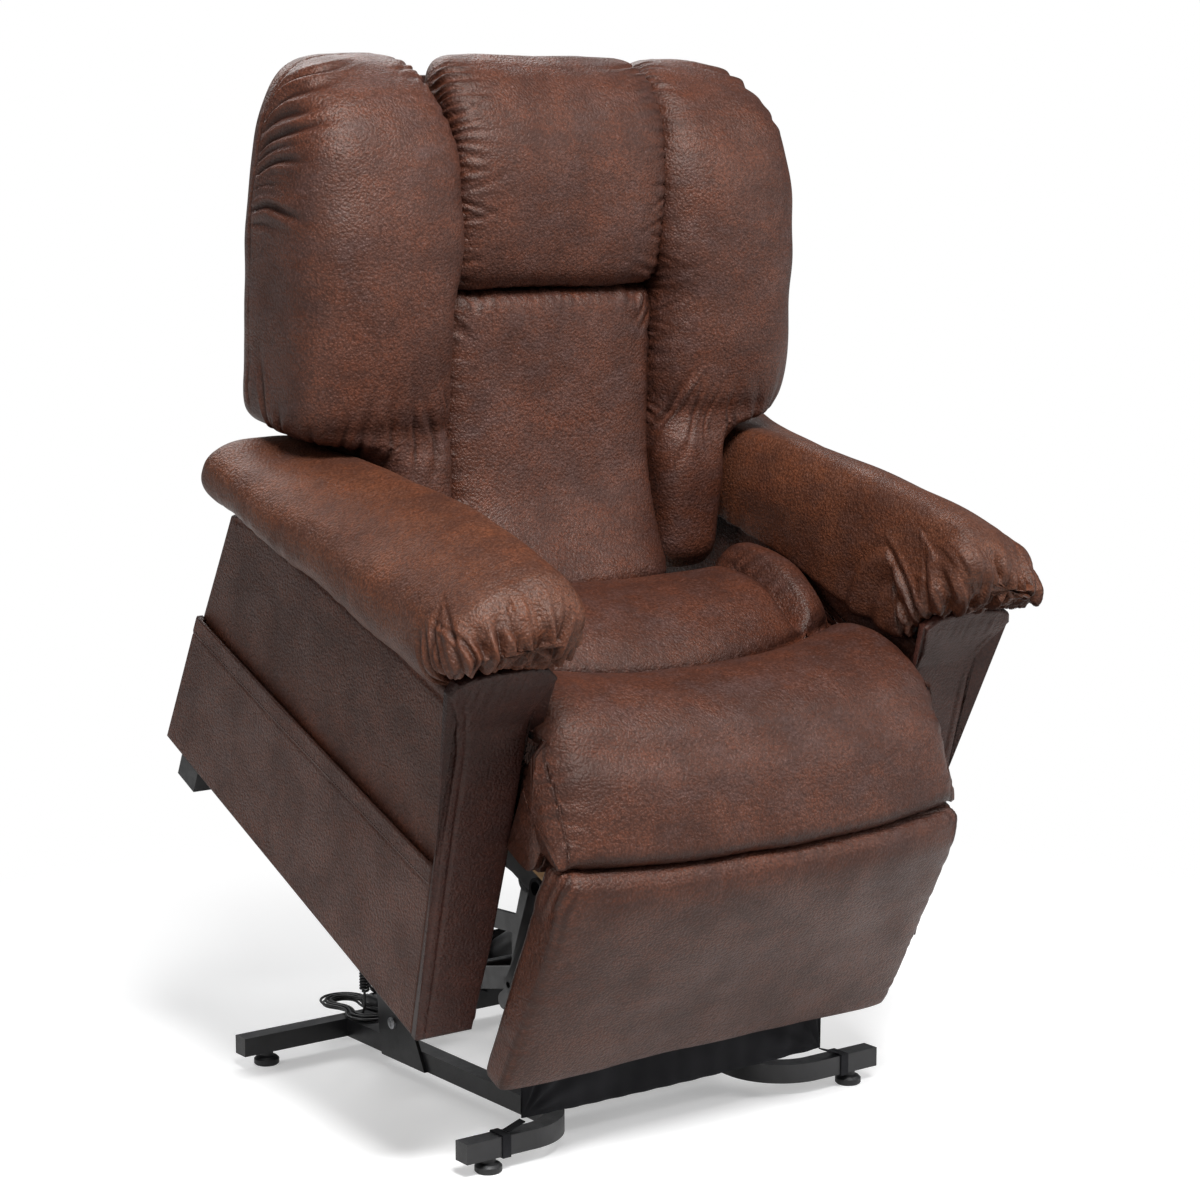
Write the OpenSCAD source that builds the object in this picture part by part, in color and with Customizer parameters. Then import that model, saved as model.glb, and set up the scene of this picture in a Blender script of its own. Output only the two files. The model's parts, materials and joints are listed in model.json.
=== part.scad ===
// Lift recliner chair, shown raised for standing up.
// Millimetres. +Z is up, the seat faces -Y, X runs across the chair and the floor is Z = 0.
// The steel base stands still. Two arms and two links carry the chair body on it, and one
// actuator pushes the body up and forward. A second actuator swings the footrest out and
// lays the back down.
//
// Three frames are used:
//   base frame   Y = 0 at the front feet (placed by in_base)
//   chair frame  Y = 0 at the front of the footrest board, Z = 0 just over the bottom of the
//                arms, level when seated (placed and tilted by in_chair)
//   back frame   Y = 0, Z = 0 at the back's hinge, Z up along the back (placed by in_back)

/* [Pose] */
// Tilt of the raised chair body, degrees
lift_tilt = 24.15; // [0:0.05:24.15]
// Rake of the upright back from the chair's own vertical, degrees
back_rake = 20; // [15:1:22]

/* [Base] */
// Outside size of the square steel tube
tube_size = 25; // [22:1:28]
// Wall of the square steel tube
tube_wall = 1.5; // [1:0.25:2.5]
// Height of the tubes' underside over the floor
tube_z = 19; // [17:1:22]
// Distance from the front feet to the rear cross tube
base_depth = 527; // [520:1:535]
// Half of the overall width of the base
base_half_w = 323; // [318:1:330]
// Distance of each side rail from the middle
rail_x = 154.5; // [152:0.5:155]
// Radius of the bend between a side rail and its front foot bar
rail_bend_r = 70; // [60:1:75]
// Distance of the feet from the middle
foot_x = 287; // [280:1:295]
// Diameter of a foot glide
foot_d = 34; // [28:1:38]

/* [Upholstery] */
// Outer face of the side panels, from the middle
side_x = 395; // [393:1:397]
// Inner face of the arms, from the middle
arm_in_x = 302; // [301:1:303]
// Half of the widest width of an arm pad
arm_pad_half_w = 84; // [80:1:86]
// Half of the width of the seat cushion's rolled front, which laps over the arms
seat_half_w = 306; // [303:1:308]
// Half of the width of the footrest
footrest_half_w = 305; // [295:1:308]
// Half of the width of the centre pillows of the back
pillow_half_w = 163; // [150:1:163]

/* [Cord] */
// Diameter of the cord
cord_d = 3.6; // [3.2:0.1:3.8]
// Number of curls in the curly stretch
curls = 23; // [10:1:23]
// Outside diameter of the curls
curl_od = 14.4; // [13:0.2:15]

/* [Hidden] */
$fn = 48;

// ---- colours
leather = [0.27, 0.16, 0.12];
leather_dark = [0.20, 0.12, 0.10];
steel_black = [0.05, 0.05, 0.06];
steel_grey = [0.30, 0.31, 0.33];
zinc = [0.72, 0.73, 0.75];
plastic_black = [0.04, 0.04, 0.04];
cloth_black = [0.05, 0.05, 0.06];
ply = [0.72, 0.58, 0.40];

// ---- frames
base_y = -182;              // front feet, so that the whole chair is centred on Y = 0
chair_y = -40;              // the chair frame's origin in the base frame, raised
chair_z = 193;
tube_top = tube_z + tube_size;
rail_end_y = base_depth - tube_size / 2;

module in_base() { translate([0, base_y, 0]) children(); }
module in_chair() { in_base() translate([0, chair_y, chair_z]) rotate([lift_tilt, 0, 0]) children(); }
module in_back() {
  in_chair() translate([0, hinge[0], hinge[1]]) rotate([-back_rake, 0, 0]) children();
}

// ---- pivots, as [Y, Z] in their own frames
arm_base_pivot = [400, 130];     // base frame
link_base_pivot = [460, 250];    // base frame
motor_pivot = [520, 80];         // base frame
arm_body_pivot = [100, -27];     // chair frame
link_body_pivot = [131, 28];     // chair frame
rod_body_pivot = [130, 125];     // chair frame
drive_pivot = [60, 150];         // chair frame, footrest drive tube
control_pivot = [22, 176];       // chair frame
hinge = [560, 160];              // chair frame, back hinge
recline_pivot = [420, 100];      // chair frame, rear of the recline actuator
front_tube = [130, 165];         // chair frame
rear_tube = [385, 165];          // chair frame

function polar(p, r, a) = [p[0] + r * cos(a), p[1] + r * sin(a)];
function in_base_yz(p) = [
  chair_y + p[0] * cos(lift_tilt) - p[1] * sin(lift_tilt),
  chair_z + p[0] * sin(lift_tilt) + p[1] * cos(lift_tilt)
];
function gap_of(a, b) = norm([b[0] - a[0], b[1] - a[1]]);
function heading(a, b) = atan2(b[1] - a[1], b[0] - a[0]);

drive_len = 160;
drive_angle = -93;
upper_len = 155;
upper_angle = 105;
knee = polar(drive_pivot, drive_len, drive_angle);
footrest_pivot = polar(knee, upper_len, upper_angle);
control_len = 156;
control_angle = -82;
crank_len = 60;
crank_angle = -30;
crank_pin = polar(drive_pivot, crank_len, crank_angle);
lever_len = 134;
lever_angle = -72.5;
lever_pin = polar(hinge, lever_len, lever_angle);

// ---- planes across the chair, as distances from the middle
bracket_x = rail_x + tube_size / 2;
bracket_t = 5;
arm_x = 176;
arm_t = 6;
plate_x = 186;
plate_t = 6;
bar_x = 209;
bar_t = 5;
lever_x = 217;
lever_t = 5;
seat_plate_x = 237;
seat_plate_t = 5;
drive_x = 244;
upper_x = 251;
control_x = 258;
link_t = 5;
lift_motor_x = 45;
recline_motor_x = -45;

pin_d = 12;
run_gap = 0.05;             // radial clearance of a pin in its hole
small_pin_d = 10;

// ============================================================ general shapes

// Left and right copies of a thing drawn on the right
module both() {
  children();
  mirror([1, 0, 0]) children();
}

// A round bar along X, from x0, centred at p = [Y, Z]
module x_rod(p, r, x0, len) {
  translate([x0, p[0], p[1]]) rotate([0, 90, 0]) cylinder(r = r, h = len);
}

// A flat plate across X with a given outline in Y, Z
module x_plate(x0, t, points) {
  translate([x0, 0, 0]) rotate([90, 0, 90]) linear_extrude(t) polygon(points);
}

// A link bar between two pivots, with a round eye at each end; w is the width of the eyes
eye_step = 2;
module link_outline(p, q, w) {
  translate(p) circle(w / 2);
  translate(q) circle(w / 2);
  translate(p) rotate(heading(p, q)) translate([0, eye_step - w / 2])
    square([gap_of(p, q), w - 2 * eye_step]);
}
module across(x0, t) { translate([x0, 0, 0]) rotate([90, 0, 90]) linear_extrude(t) children(); }
module link_bar(p, q, x0, t, w, hole_p, hole_q) {
  across(x0, t) difference() {
    link_outline(p, q, w);
    translate(p) circle(hole_p);
    translate(q) circle(hole_q);
  }
}
// The same bar without holes, for a link that carries its own pins
module solid_bar(p, q, x0, t, w) { across(x0, t) link_outline(p, q, w); }

// Square tube along X or Y
module square_tube(len) {
  difference() {
    cube([tube_size, len, tube_size]);
    translate([tube_wall, -1, tube_wall])
      cube([tube_size - 2 * tube_wall, len + 2, tube_size - 2 * tube_wall]);
  }
}

// ---- soft shapes from rings of points
function power_round(c, n) = sign(c) * pow(abs(c), 2 / n);

// Rings of points, all with the same count, each anticlockwise about the stacking axis
function ring_mid(r) = [for (k = [0:2]) [for (p = r) p[k]] * [for (p = r) 1] / len(r)];

function ring_faces(m, n) = concat(
  [for (i = [0:m - 2]) for (j = [0:n - 1]) [i * n + j, (i + 1) * n + j, (i + 1) * n + (j + 1) % n]],
  [for (i = [0:m - 2]) for (j = [0:n - 1]) [i * n + j, (i + 1) * n + (j + 1) % n, i * n + (j + 1) % n]],
  [for (j = [0:n - 1]) [m * n, j, (j + 1) % n]],
  [for (j = [0:n - 1]) [m * n + 1, (m - 1) * n + (j + 1) % n, (m - 1) * n + j]]
);

module ring_solid(rings) {
  m = len(rings);
  n = len(rings[0]);
  points = concat([for (r = rings) for (p = r) p], [ring_mid(rings[0]), ring_mid(rings[m - 1])]);
  polyhedron(points = points, faces = ring_faces(m, n));
}

// A round tube swept along points; its end faces are square to its first and last step
function unit(v) = v / norm(v);
function step_at(path, i) =
  i == 0 ? path[1] - path[0]
  : i == len(path) - 1 ? path[i] - path[i - 1]
  : unit(path[i + 1] - path[i]) + unit(path[i] - path[i - 1]);
function slide_normal(n, t) = unit(n - (n * t) * t);
function normals(path, i, n) =
  i == len(path) ? []
  : let (t = unit(step_at(path, i)), m = slide_normal(n, t)) concat([m], normals(path, i + 1, m));

module swept_tube(path, d, sides, start_normal) {
  ns = normals(path, 0, start_normal);
  ring_solid([for (i = [0:len(path) - 1])
    let (t = unit(step_at(path, i)), u = ns[i], w = cross(t, u))
    [for (j = [0:sides - 1]) path[i] + d / 2 * (cos(360 * j / sides) * u + sin(360 * j / sides) * w)]]);
}

// Least gap of a wound cord to itself, between points more than skip steps apart
function self_gap(path, skip, d) = min([
  for (i = [0:len(path) - skip - 2]) min([for (j = [i + skip:len(path) - 1]) norm(path[i] - path[j])])
]) - d;

// ============================================================ base

module rail() {
  difference() {
    union() {
      translate([rail_x - tube_size / 2, rail_bend_r, tube_z])
        square_tube(rail_end_y - rail_bend_r);
      translate([rail_x + rail_bend_r, rail_bend_r, tube_z])
        rotate([0, 0, 180]) rotate_extrude(angle = 90)
          translate([rail_bend_r - tube_size / 2, 0])
            difference() {
              square(tube_size);
              translate([tube_wall, tube_wall]) square(tube_size - 2 * tube_wall);
            }
      translate([base_half_w, -tube_size / 2, tube_z])
        rotate([0, 0, 90]) square_tube(base_half_w - rail_x - rail_bend_r);
    }
    translate([foot_x, 0, tube_z - 1]) cylinder(r = 5 + run_gap, h = tube_wall + 2);
  }
}
module base_rail_left() { color(steel_black) in_base() mirror([1, 0, 0]) rail(); }
module base_rail_right() { color(steel_black) in_base() rail(); }

module rear_cross_tube() {
  color(steel_black) in_base() difference() {
    translate([base_half_w + 1, base_depth - tube_size / 2, tube_z])
      rotate([0, 0, 90]) square_tube(2 * base_half_w + 2);
    both() translate([foot_x, base_depth, tube_z - 1]) cylinder(r = 5 + run_gap, h = tube_wall + 2);
  }
}

front_bar_y = 110;
module front_cross_tube() {
  bar_len = 2 * (rail_x - tube_size / 2);
  color(steel_black) in_base()
    translate([bar_len / 2, front_bar_y - tube_size / 2, tube_z])
      rotate([0, 0, 90]) square_tube(bar_len);
}

cap_t = 3;
module end_cap(x, y) {
  inner = tube_size - 2 * tube_wall - 0.4;
  translate([x, y - tube_size / 2, tube_z]) cube([cap_t, tube_size, tube_size]);
  translate([x - 12, y - inner / 2, tube_z + tube_size / 2 - inner / 2]) cube([12, inner, inner]);
}
module tube_end_caps() {
  color(plastic_black) in_base() both() {
    end_cap(base_half_w, 0);
    end_cap(base_half_w + 1, base_depth);
  }
}

// Round glide: a domed disc, a neck and a stem that is pressed into the tube
module foot_glide(x, y) {
  translate([x, y, 0]) rotate_extrude() polygon([
    [0, 0], [foot_d / 2 - 2, 0], [foot_d / 2, 2], [foot_d / 2, 8], [foot_d / 2 - 3, 11],
    [9, 12.5], [9, tube_z - 0.1], [5, tube_z - 0.1], [5, tube_z + 8], [0, tube_z + 8]
  ]);
}
module foot_glides() {
  color(plastic_black) in_base() both() {
    foot_glide(foot_x, 0);
    foot_glide(foot_x, base_depth);
  }
}

bolt_yz = [391, 69];        // bolt that ties the gusset foot of a lift bracket
hook_yz = [508, 205];       // peg that the cord hangs over
bracket_outline = [
  [316, tube_z], [420, tube_z], [426, 50], [429, 90], [438, 130], [462, 190], [518, 188],
  [524, 205], [516, 222], [482, 236], [482, 262], [470, 272], [450, 272], [434, 258],
  [384, 152], [366, 112], [340, 62]
];
module lift_bracket() {
  difference() {
    x_plate(bracket_x, bracket_t, bracket_outline);
    x_rod(arm_base_pivot, pin_d / 2 + run_gap, bracket_x - 1, bracket_t + 2);
    x_rod(link_base_pivot, pin_d / 2 + run_gap, bracket_x - 1, bracket_t + 2);
    x_rod(bolt_yz, 5 + run_gap, bracket_x - 1, bracket_t + 2);
    x_rod(hook_yz, 3 + run_gap, bracket_x - 1, bracket_t + 2);
  }
}
module lift_brackets() { color(steel_black) in_base() both() lift_bracket(); }

// Pivot bolt: a shank through bracket and arm, with a head on each end
module pivot_bolt(p) {
  x_rod(p, pin_d / 2, bracket_x - 1, arm_x + arm_t - bracket_x + 2);
  x_rod(p, 9, bracket_x - 5, 4.8);
  x_rod(p, 8, arm_x + arm_t + 0.4, 3);
}
module bracket_bolts() {
  color(zinc) in_base() both() {
    pivot_bolt(arm_base_pivot);
    pivot_bolt(link_base_pivot);
    x_rod(bolt_yz, 5, bracket_x - 8, bracket_t + 9);
    x_rod(bolt_yz, 8, bracket_x + bracket_t + 0.2, 3);
    x_rod(bolt_yz, 8, bracket_x - 6, 5.8);
  }
}

clevis_in = 12;
clevis_t = 5;
module ears(x, points) {
  x_plate(x - clevis_in - clevis_t, clevis_t, points);
  x_plate(x + clevis_in, clevis_t, points);
}
module cross_pin(x, p) {
  x_rod(p, small_pin_d / 2, x - clevis_in - clevis_t - 3, 2 * (clevis_in + clevis_t + 3));
}
module motor_clevis() {
  color(steel_black) in_base() {
    ears(lift_motor_x, [[504, tube_top], [536, tube_top], [532, 90], [524, 96], [512, 96], [504, 88]]);
    cross_pin(lift_motor_x, motor_pivot);
  }
}

// Cloth that hangs behind the footrest, with soft upright folds
shroud_half_w = 238;
shroud_low = 54;
shroud_high = 150;
shroud_t = 2;
shroud_columns = 30;
function shroud_y(x, h) = -3 * h + 4.5 * (0.35 + 0.65 * h) * sin(x * 4.1) + 2 * sin(x * 9.7 + 40);
function shroud_z(x, h) = shroud_low + (shroud_high - shroud_low) * h
  + (1 - h) * 3 * pow(x / shroud_half_w, 2);
module base_shroud() {
  color(cloth_black) in_base() ring_solid([
    for (i = [0:shroud_columns])
      let (x = -shroud_half_w + 2 * shroud_half_w * i / shroud_columns)
      concat(
        [for (h = [0, 0.33, 0.66, 1]) [x, shroud_y(x, h) + shroud_t / 2, shroud_z(x, h)]],
        [for (h = [1, 0.66, 0.33, 0]) [x, shroud_y(x, h) - shroud_t / 2, shroud_z(x, h)]]
      )
  ]);
}

// Elastic strap from a corner of the shroud, looped round the foot tube
module strap() {
  w = 12;
  t = 1.6;
  loop_x = 269;
  in = tube_size + 0.4;
  translate([loop_x - w / 2, 0, tube_z + tube_size / 2]) difference() {
    translate([0, -in / 2 - t, -in / 2 - t]) cube([w, in + 2 * t, in + 2 * t]);
    translate([-1, -in / 2, -in / 2]) cube([w + 2, in, in]);
  }
  x_from = shroud_half_w + 0.3;
  x_to = loop_x - w / 2 - 0.2;
  translate([x_from, 3, tube_top + 10.4]) rotate([0, atan2(8.2, x_to - x_from), 0])
    translate([0, -w, 0]) cube([norm([x_to - x_from, 8.2]), w, t]);
}
module shroud_straps() { color(cloth_black) in_base() both() strap(); }

box_size = [80, 40, 34];
box_at = [-80, 507, tube_top + 0.2];
module control_box() {
  color(plastic_black) in_base() translate(box_at) difference() {
    union() {
      cube(box_size);
      translate([-3, 5, 4]) cube([3, 22, 24]);
    }
    translate([box_size[0] - 10, 10, 8]) cube([11, 20, 16]);
  }
}

module cord_hook() {
  color(steel_black) in_base() mirror([1, 0, 0]) {
    x_rod(hook_yz, 3, 145, bracket_x + bracket_t - 145 + 2);
    x_rod(hook_yz, 8.8, 142, bracket_x - 142 - 0.2);
  }
}

// ============================================================ cord

// Lead: out of the control box, up behind the bracket and over the peg
lead_route = [
  [-83, 523, 62], [-87, 523, 62], [-100, 523, 63], [-118, 523, 72], [-132, 522, 92],
  [-142, 521, 120], [-148, 520, 150], [-150, 519, 180], [-150, 519, 205],
  [-150, 517.5, 210.5], [-150, 513.5, 214.5], [-150, 508, 216], [-150, 502.5, 214.5],
  [-150, 498.5, 210.5], [-150, 497, 205], [-150, 497, 196], [-150, 497, 186], [-150, 497, 182]
];
module cord_lead() { color(plastic_black) in_base() swept_tube(lead_route, cord_d, 8, [0, 1, 0]); }

// Curly stretch: hangs from the lead to the hank
curl_top = [-150, 497, 182];
curl_bottom = [-148, 500, 78];
curl_rings = 8;
curl_r = (curl_od - cord_d) / 2;
straight = 4;
curl_axis = unit(curl_bottom - curl_top);
curl_len = norm(curl_bottom - curl_top);
curl_u = slide_normal([0, 1, 0], curl_axis);
curl_w = cross(curl_axis, curl_u);
function curl_reach(k) = curl_r * min(1, k / 0.5, (curls - k) / 0.5);
curl_turns = [
  for (i = [0:curls * curl_rings])
    let (k = i / curl_rings, s = straight + (curl_len - 2 * straight) * k / curls, a = 360 * k)
    curl_top + curl_axis * s + curl_reach(k) * (cos(a) * curl_u + sin(a) * curl_w)
];
curl_path = concat([curl_top], curl_turns, [curl_bottom]);
module curly_cord() { color(plastic_black) in_base() swept_tube(curl_path, cord_d, 6, curl_u); }
echo(curly_cord_least_gap = self_gap(curl_turns, curl_rings - 2, cord_d));

// Hank: loops with straight runs, drawn in at the waist, in two layers
hank_mid = [-135, 541];
hank_run = 33;
hank_r = 14;
hank_step = 6.8;
hank_rings = 24;
hank_up = 3;                // loops in the lower layer
hank_down = 2.5;            // loops in the upper layer
hank_z = tube_top + 0.3 + cord_d / 2;
hank_climb = 4.6;
hank_waist = 0.36;
function hank_reach(t) = hank_r + hank_step * (t < hank_up ? t : 2 * hank_up - t);
function hank_level(t) = hank_climb * min(1, max(0, (t - hank_up + 0.25) / 0.5));
function hank_width(q) = 1 - hank_waist * pow(1 - pow(q / hank_run, 2), 2);
// Half a loop is a run of 5 steps and a half circle of 7 steps
function hank_point(i) =
  let (
    t = i / hank_rings, r = hank_reach(t), k = i % 12, side = (i % 24) < 12 ? 1 : -1,
    q = k <= 5 ? -hank_run + 2 * hank_run * k / 5 : hank_run + r * sin(180 * (k - 5) / 7),
    p = k <= 5 ? -r * hank_width(q) : -r * cos(180 * (k - 5) / 7)
  )
  [hank_mid[0] + side * p, hank_mid[1] + side * q, hank_z + hank_level(t)];
hank_turns = [for (i = [0:hank_rings * (hank_up + hank_down)]) hank_point(i)];
hank_in = [
  [-148, 500, 78], [-148, 500, 74], [-148, 500, 66], [-148.2, 501, 58], [-148.6, 503.5, 51]
];
hank_out = [
  [-117.8, 568, 51.6], [-118.5, 561, 53.6], [-120, 553, 57], [-121.5, 546, 60.4],
  [-122, 540, 61.8], [-122, 536, 62]
];
hank_path = concat(hank_in, hank_turns, hank_out);
module cord_hank() { color(plastic_black) in_base() swept_tube(hank_path, cord_d, 6, [0, 1, 0]); }
echo(cord_hank_least_gap = self_gap(hank_turns, 12, cord_d));

plug_len = 44;
module power_plug() {
  color(plastic_black) in_base() translate([-122, 536, 62]) rotate([90, 0, 0]) {
    cylinder(r = 4, h = 12);
    translate([0, 0, 12]) cylinder(r = 8, h = plug_len - 18);
    translate([0, 0, plug_len - 6]) cylinder(r = 6.5, h = 6);
  }
}

// ============================================================ lift linkage

arm_far = in_base_yz(arm_body_pivot);
link_far = in_base_yz(link_body_pivot);
lift_angle = heading(arm_base_pivot, arm_far);
torque_at = polar(arm_base_pivot, 150, lift_angle);
torque_r = 12.5;

module lift_arms() {
  color(steel_black) in_base() both()
    link_bar(arm_base_pivot, arm_far, arm_x, arm_t, 32, pin_d / 2 + run_gap, pin_d / 2 + run_gap);
}
module lift_torque_tube() {
  color(steel_black) in_base() difference() {
    x_rod(torque_at, torque_r, -arm_x, 2 * arm_x);
    x_rod(torque_at, torque_r - 2, -arm_x - 1, 2 * arm_x + 2);
  }
}
module upper_lift_links() {
  color(steel_black) in_base() both()
    link_bar(link_base_pivot, link_far, arm_x, arm_t, 28, pin_d / 2 + run_gap, pin_d / 2 + 4);
}

// ---- linear actuators, drawn along +Y from the rear pivot
case_from = 24;
module actuator_body(motor_side, tube_from) {
  difference() {
    union() {
      translate([-11, -14, -14]) cube([22, case_from + 15, 28]);
      translate([-27, case_from, -30]) cube([54, tube_from - case_from, 60]);
      translate([motor_side * 27, tube_from / 2 + 8, 0])
        rotate([0, motor_side * 90, 0]) cylinder(r = 25, h = 72);
      translate([motor_side * 99, tube_from / 2 + 8, 0])
        rotate([0, motor_side * 90, 0]) cylinder(r = 19, h = 8);
    }
    x_rod([0, 0], small_pin_d / 2 + run_gap, -13, 26);
  }
}
module actuator_tube(from, to) {
  translate([0, from, 0]) rotate([-90, 0, 0]) difference() {
    cylinder(r = 19, h = to - from);
    translate([0, 0, 3]) cylinder(r = 10 + run_gap, h = to - from);
  }
}
module actuator_rod(from, to) {
  translate([0, from, 0]) rotate([-90, 0, 0]) cylinder(r = 10, h = to - from - 11);
  x_rod([to, 0], 13, -9, 18);
  x_rod([to, 0], small_pin_d / 2, -clevis_in + 0.5, 2 * clevis_in - 1);
}

rod_far = in_base_yz(rod_body_pivot);
lift_push = gap_of(motor_pivot, rod_far);
lift_case_len = 80;
lift_tube_end = 300;
module along_lift() {
  in_base() translate([lift_motor_x, motor_pivot[0], motor_pivot[1]])
    rotate([heading(motor_pivot, rod_far), 0, 0]) children();
}
module lift_motor() { color(plastic_black) along_lift() actuator_body(1, lift_case_len); }
module lift_actuator_tube() { color(plastic_black) along_lift() actuator_tube(lift_case_len, lift_tube_end); }
module lift_rod() { color(zinc) along_lift() actuator_rod(lift_push - 290, lift_push); }

recline_push = gap_of(recline_pivot, crank_pin);
recline_case_len = 62;
recline_tube_end = 215;
module along_recline() {
  in_chair() translate([recline_motor_x, recline_pivot[0], recline_pivot[1]])
    rotate([heading(recline_pivot, crank_pin), 0, 0]) children();
}
module recline_motor() {
  color(plastic_black) along_recline() {
    actuator_body(-1, recline_case_len);
    actuator_tube(recline_case_len, recline_tube_end);
  }
}
module recline_rod() { color(zinc) along_recline() actuator_rod(recline_push - 196, recline_push); }

// ============================================================ carriage and seat

carriage_outline = [
  [82, -42], [118, -42], [142, 12], [156, 138], [378, 147], [398, 149], [404, 165], [398, 181],
  [378, 183], [112, 186], [104, 60], [82, -8]
];
module carriage_plates() {
  color(steel_black) in_chair() both() difference() {
    x_plate(plate_x, plate_t, carriage_outline);
    x_rod(arm_body_pivot, pin_d / 2 + run_gap, plate_x - 1, plate_t + 2);
    x_rod(front_tube, 12.5 + run_gap, plate_x - 1, plate_t + 2);
    x_rod(rear_tube, 12.5 + run_gap, plate_x - 1, plate_t + 2);
  }
}
module carriage_tubes() {
  color(steel_black) in_chair() {
    for (p = [front_tube, rear_tube]) difference() {
      x_rod(p, 12.5, -seat_plate_x, 2 * seat_plate_x);
      x_rod(p, 10.5, -seat_plate_x - 1, 2 * seat_plate_x + 2);
    }
    difference() {
      ears(lift_motor_x, [[120, 112], [140, 112], [144, 125], [144, 160], [116, 160], [116, 125]]);
      x_rod(front_tube, 12, 0, 100);
      x_rod(rod_body_pivot, 6, 0, 100);
    }
    difference() {
      ears(recline_motor_x, [
        [373, 174], [373, 152], [400, 139], [404, 132], [404, 94], [411, 86], [428, 86], [436, 94],
        [436, 112], [403, 174]
      ]);
      x_rod(rear_tube, 12, -100, 100);
    }
    cross_pin(recline_motor_x, recline_pivot);
  }
}
module carriage_pins() {
  color(zinc) in_chair() both() {
    x_rod(arm_body_pivot, pin_d / 2, arm_x - 1, plate_x + plate_t - arm_x + 2);
    x_rod(arm_body_pivot, 9, arm_x - 5, 3.8);
    x_rod(control_pivot, 5, seat_plate_x - 3, control_x + link_t - seat_plate_x + 4);
    x_rod(hinge, 6, lever_x - 2, seat_plate_x + seat_plate_t - lever_x + 3);
  }
}

drive_r = 11;
seat_plate_low = 133;
seat_plate_high = 192;
module seat_side_plates() {
  color(steel_grey) in_chair() both() difference() {
    translate([seat_plate_x, 8, seat_plate_low])
      cube([seat_plate_t, 570, seat_plate_high - seat_plate_low]);
    x_rod(drive_pivot, drive_r + run_gap, seat_plate_x - 1, seat_plate_t + 2);
    x_rod(control_pivot, 5 + run_gap, seat_plate_x - 1, seat_plate_t + 2);
    x_rod(hinge, 6 + run_gap, seat_plate_x - 1, seat_plate_t + 2);
  }
}

deck_z = seat_plate_high + 0.2;
deck_t = 22;
deck_side_w = 40;
module seat_frame() {
  color(ply) in_chair() {
    both() translate([seat_plate_x - 3, 56.2, deck_z]) cube([deck_side_w, 348.6, deck_t]);
    translate([-275, 20, deck_z]) cube([550, 36, deck_t]);
    translate([-275, 405, deck_z]) cube([550, 36, deck_t]);
  }
}

// Zigzag wire springs from the front rail to the rear rail
spring_wire = 3;
spring_pitch = 24;
spring_half_w = 22;
spring_count = 5;
spring_turns = 14;
function zigzag(side) = [
  for (i = [0:spring_turns])
    [(i % 2 == 0 ? 1 : -1) * spring_half_w + side * spring_wire / 2, 58 + i * spring_pitch]
];
module seat_springs() {
  color(steel_grey) in_chair() for (k = [0:spring_count - 1])
    translate([-180 + 90 * k, 0, deck_z + 8]) linear_extrude(spring_wire)
      polygon(concat(zigzag(1), [for (i = [spring_turns:-1:0]) zigzag(-1)[i]]));
}

// Cushion: a domed pad between two side bolsters, a curved channel in front of them, and a deep
// rolled front that hangs over the top of the footrest
seat_low = deck_z + deck_t + 0.6;
seat_between_arms = arm_in_x - 6;   // half width behind the front faces of the arms
roll_lip_z = 252;           // underside of the roll where it hangs over the footrest
channel_z = 345;
bolster_x = 222;            // line between the pad and a bolster
function across_share(x) = min(1, abs(x) / seat_half_w);
function lip_y(x) = -26 - 38 * (1 - pow(across_share(x), 3));
function channel_y(x) = 182 + 76 * pow(across_share(x), 2.2);
function side_drop(x) = 44 * pow(max(0, abs(x) - 250) / 55, 3);
function bolster_groove(x) = 26 * exp(-pow((abs(x) - bolster_x) / 15, 2));
function seat_rear_y(x) = 398 + 34 * min(1, max(0, abs(x) - bolster_x) / 10);
// The top behind the channel, as [share of the way from the channel to the rear, height]
inner_pad = [[1, 348], [0.8, 368], [0.5, 378], [0.25, 371], [0.08, 356]];
// The top of the roll, as [share of the way from its face to the channel, height]
front_roll = [[0.93, 362], [0.8, 380], [0.6, 393], [0.4, 393], [0.2, 383], [0.05, 360]];
face_depth = 60;
// The face of the roll, as [distance behind the lip, height]
front_face = [[46, 344], [24, 318], [6, 290], [-4, 270], [2, roll_lip_z + 2]];
// Beside the arms the cushion is narrow, so the widest slices of the roll stop in front of them
roll_rear_y = 60;
function behind_stop(x, y) =
  abs(x) > seat_between_arms && y > roll_rear_y ? roll_rear_y + (y - roll_rear_y) * 0.015 : y;
function seat_slice(x) = let (
  c = channel_y(x), lip = lip_y(x), d = side_drop(x), rear = seat_rear_y(x)
) concat(
  [[lip + 8, roll_lip_z], [8, roll_lip_z]],
  [for (y = [9, 140, 270, rear - 10]) [y, seat_low]],
  [[rear, seat_low + 14], [rear, 310 - d]],
  [for (p = inner_pad) [c + (rear - 4 - c) * p[0], p[1] - d - bolster_groove(x) * min(1, 4 * p[0])]],
  [[c, channel_z - d]],
  [for (p = front_roll) [lip + face_depth + (c - lip - face_depth) * p[0], p[1] - d]],
  [for (p = front_face) [lip + p[0], p[1] - (p[1] > 300 ? d : d / 2)]]
);
function seat_ring(x) = [
  for (p = seat_slice(x)) let (y = behind_stop(x, p[0])) [x, y, max(p[1], y < 9 ? roll_lip_z : seat_low)]
];
seat_half_columns = [0, 52, 105, 155, 190, 210, 222, 234, 252, 272, 288, seat_between_arms];
roll_columns = [seat_between_arms + 2, seat_half_w - 2, seat_half_w];
seat_columns = concat(seat_half_columns, roll_columns);
module seat_cushion() {
  last = len(seat_columns) - 1;
  color(leather) in_chair() ring_solid(concat(
    [for (i = [last:-1:1]) seat_ring(-seat_columns[i])],
    [for (x = seat_columns) seat_ring(x)]
  ));
}

// ============================================================ arms

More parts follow.
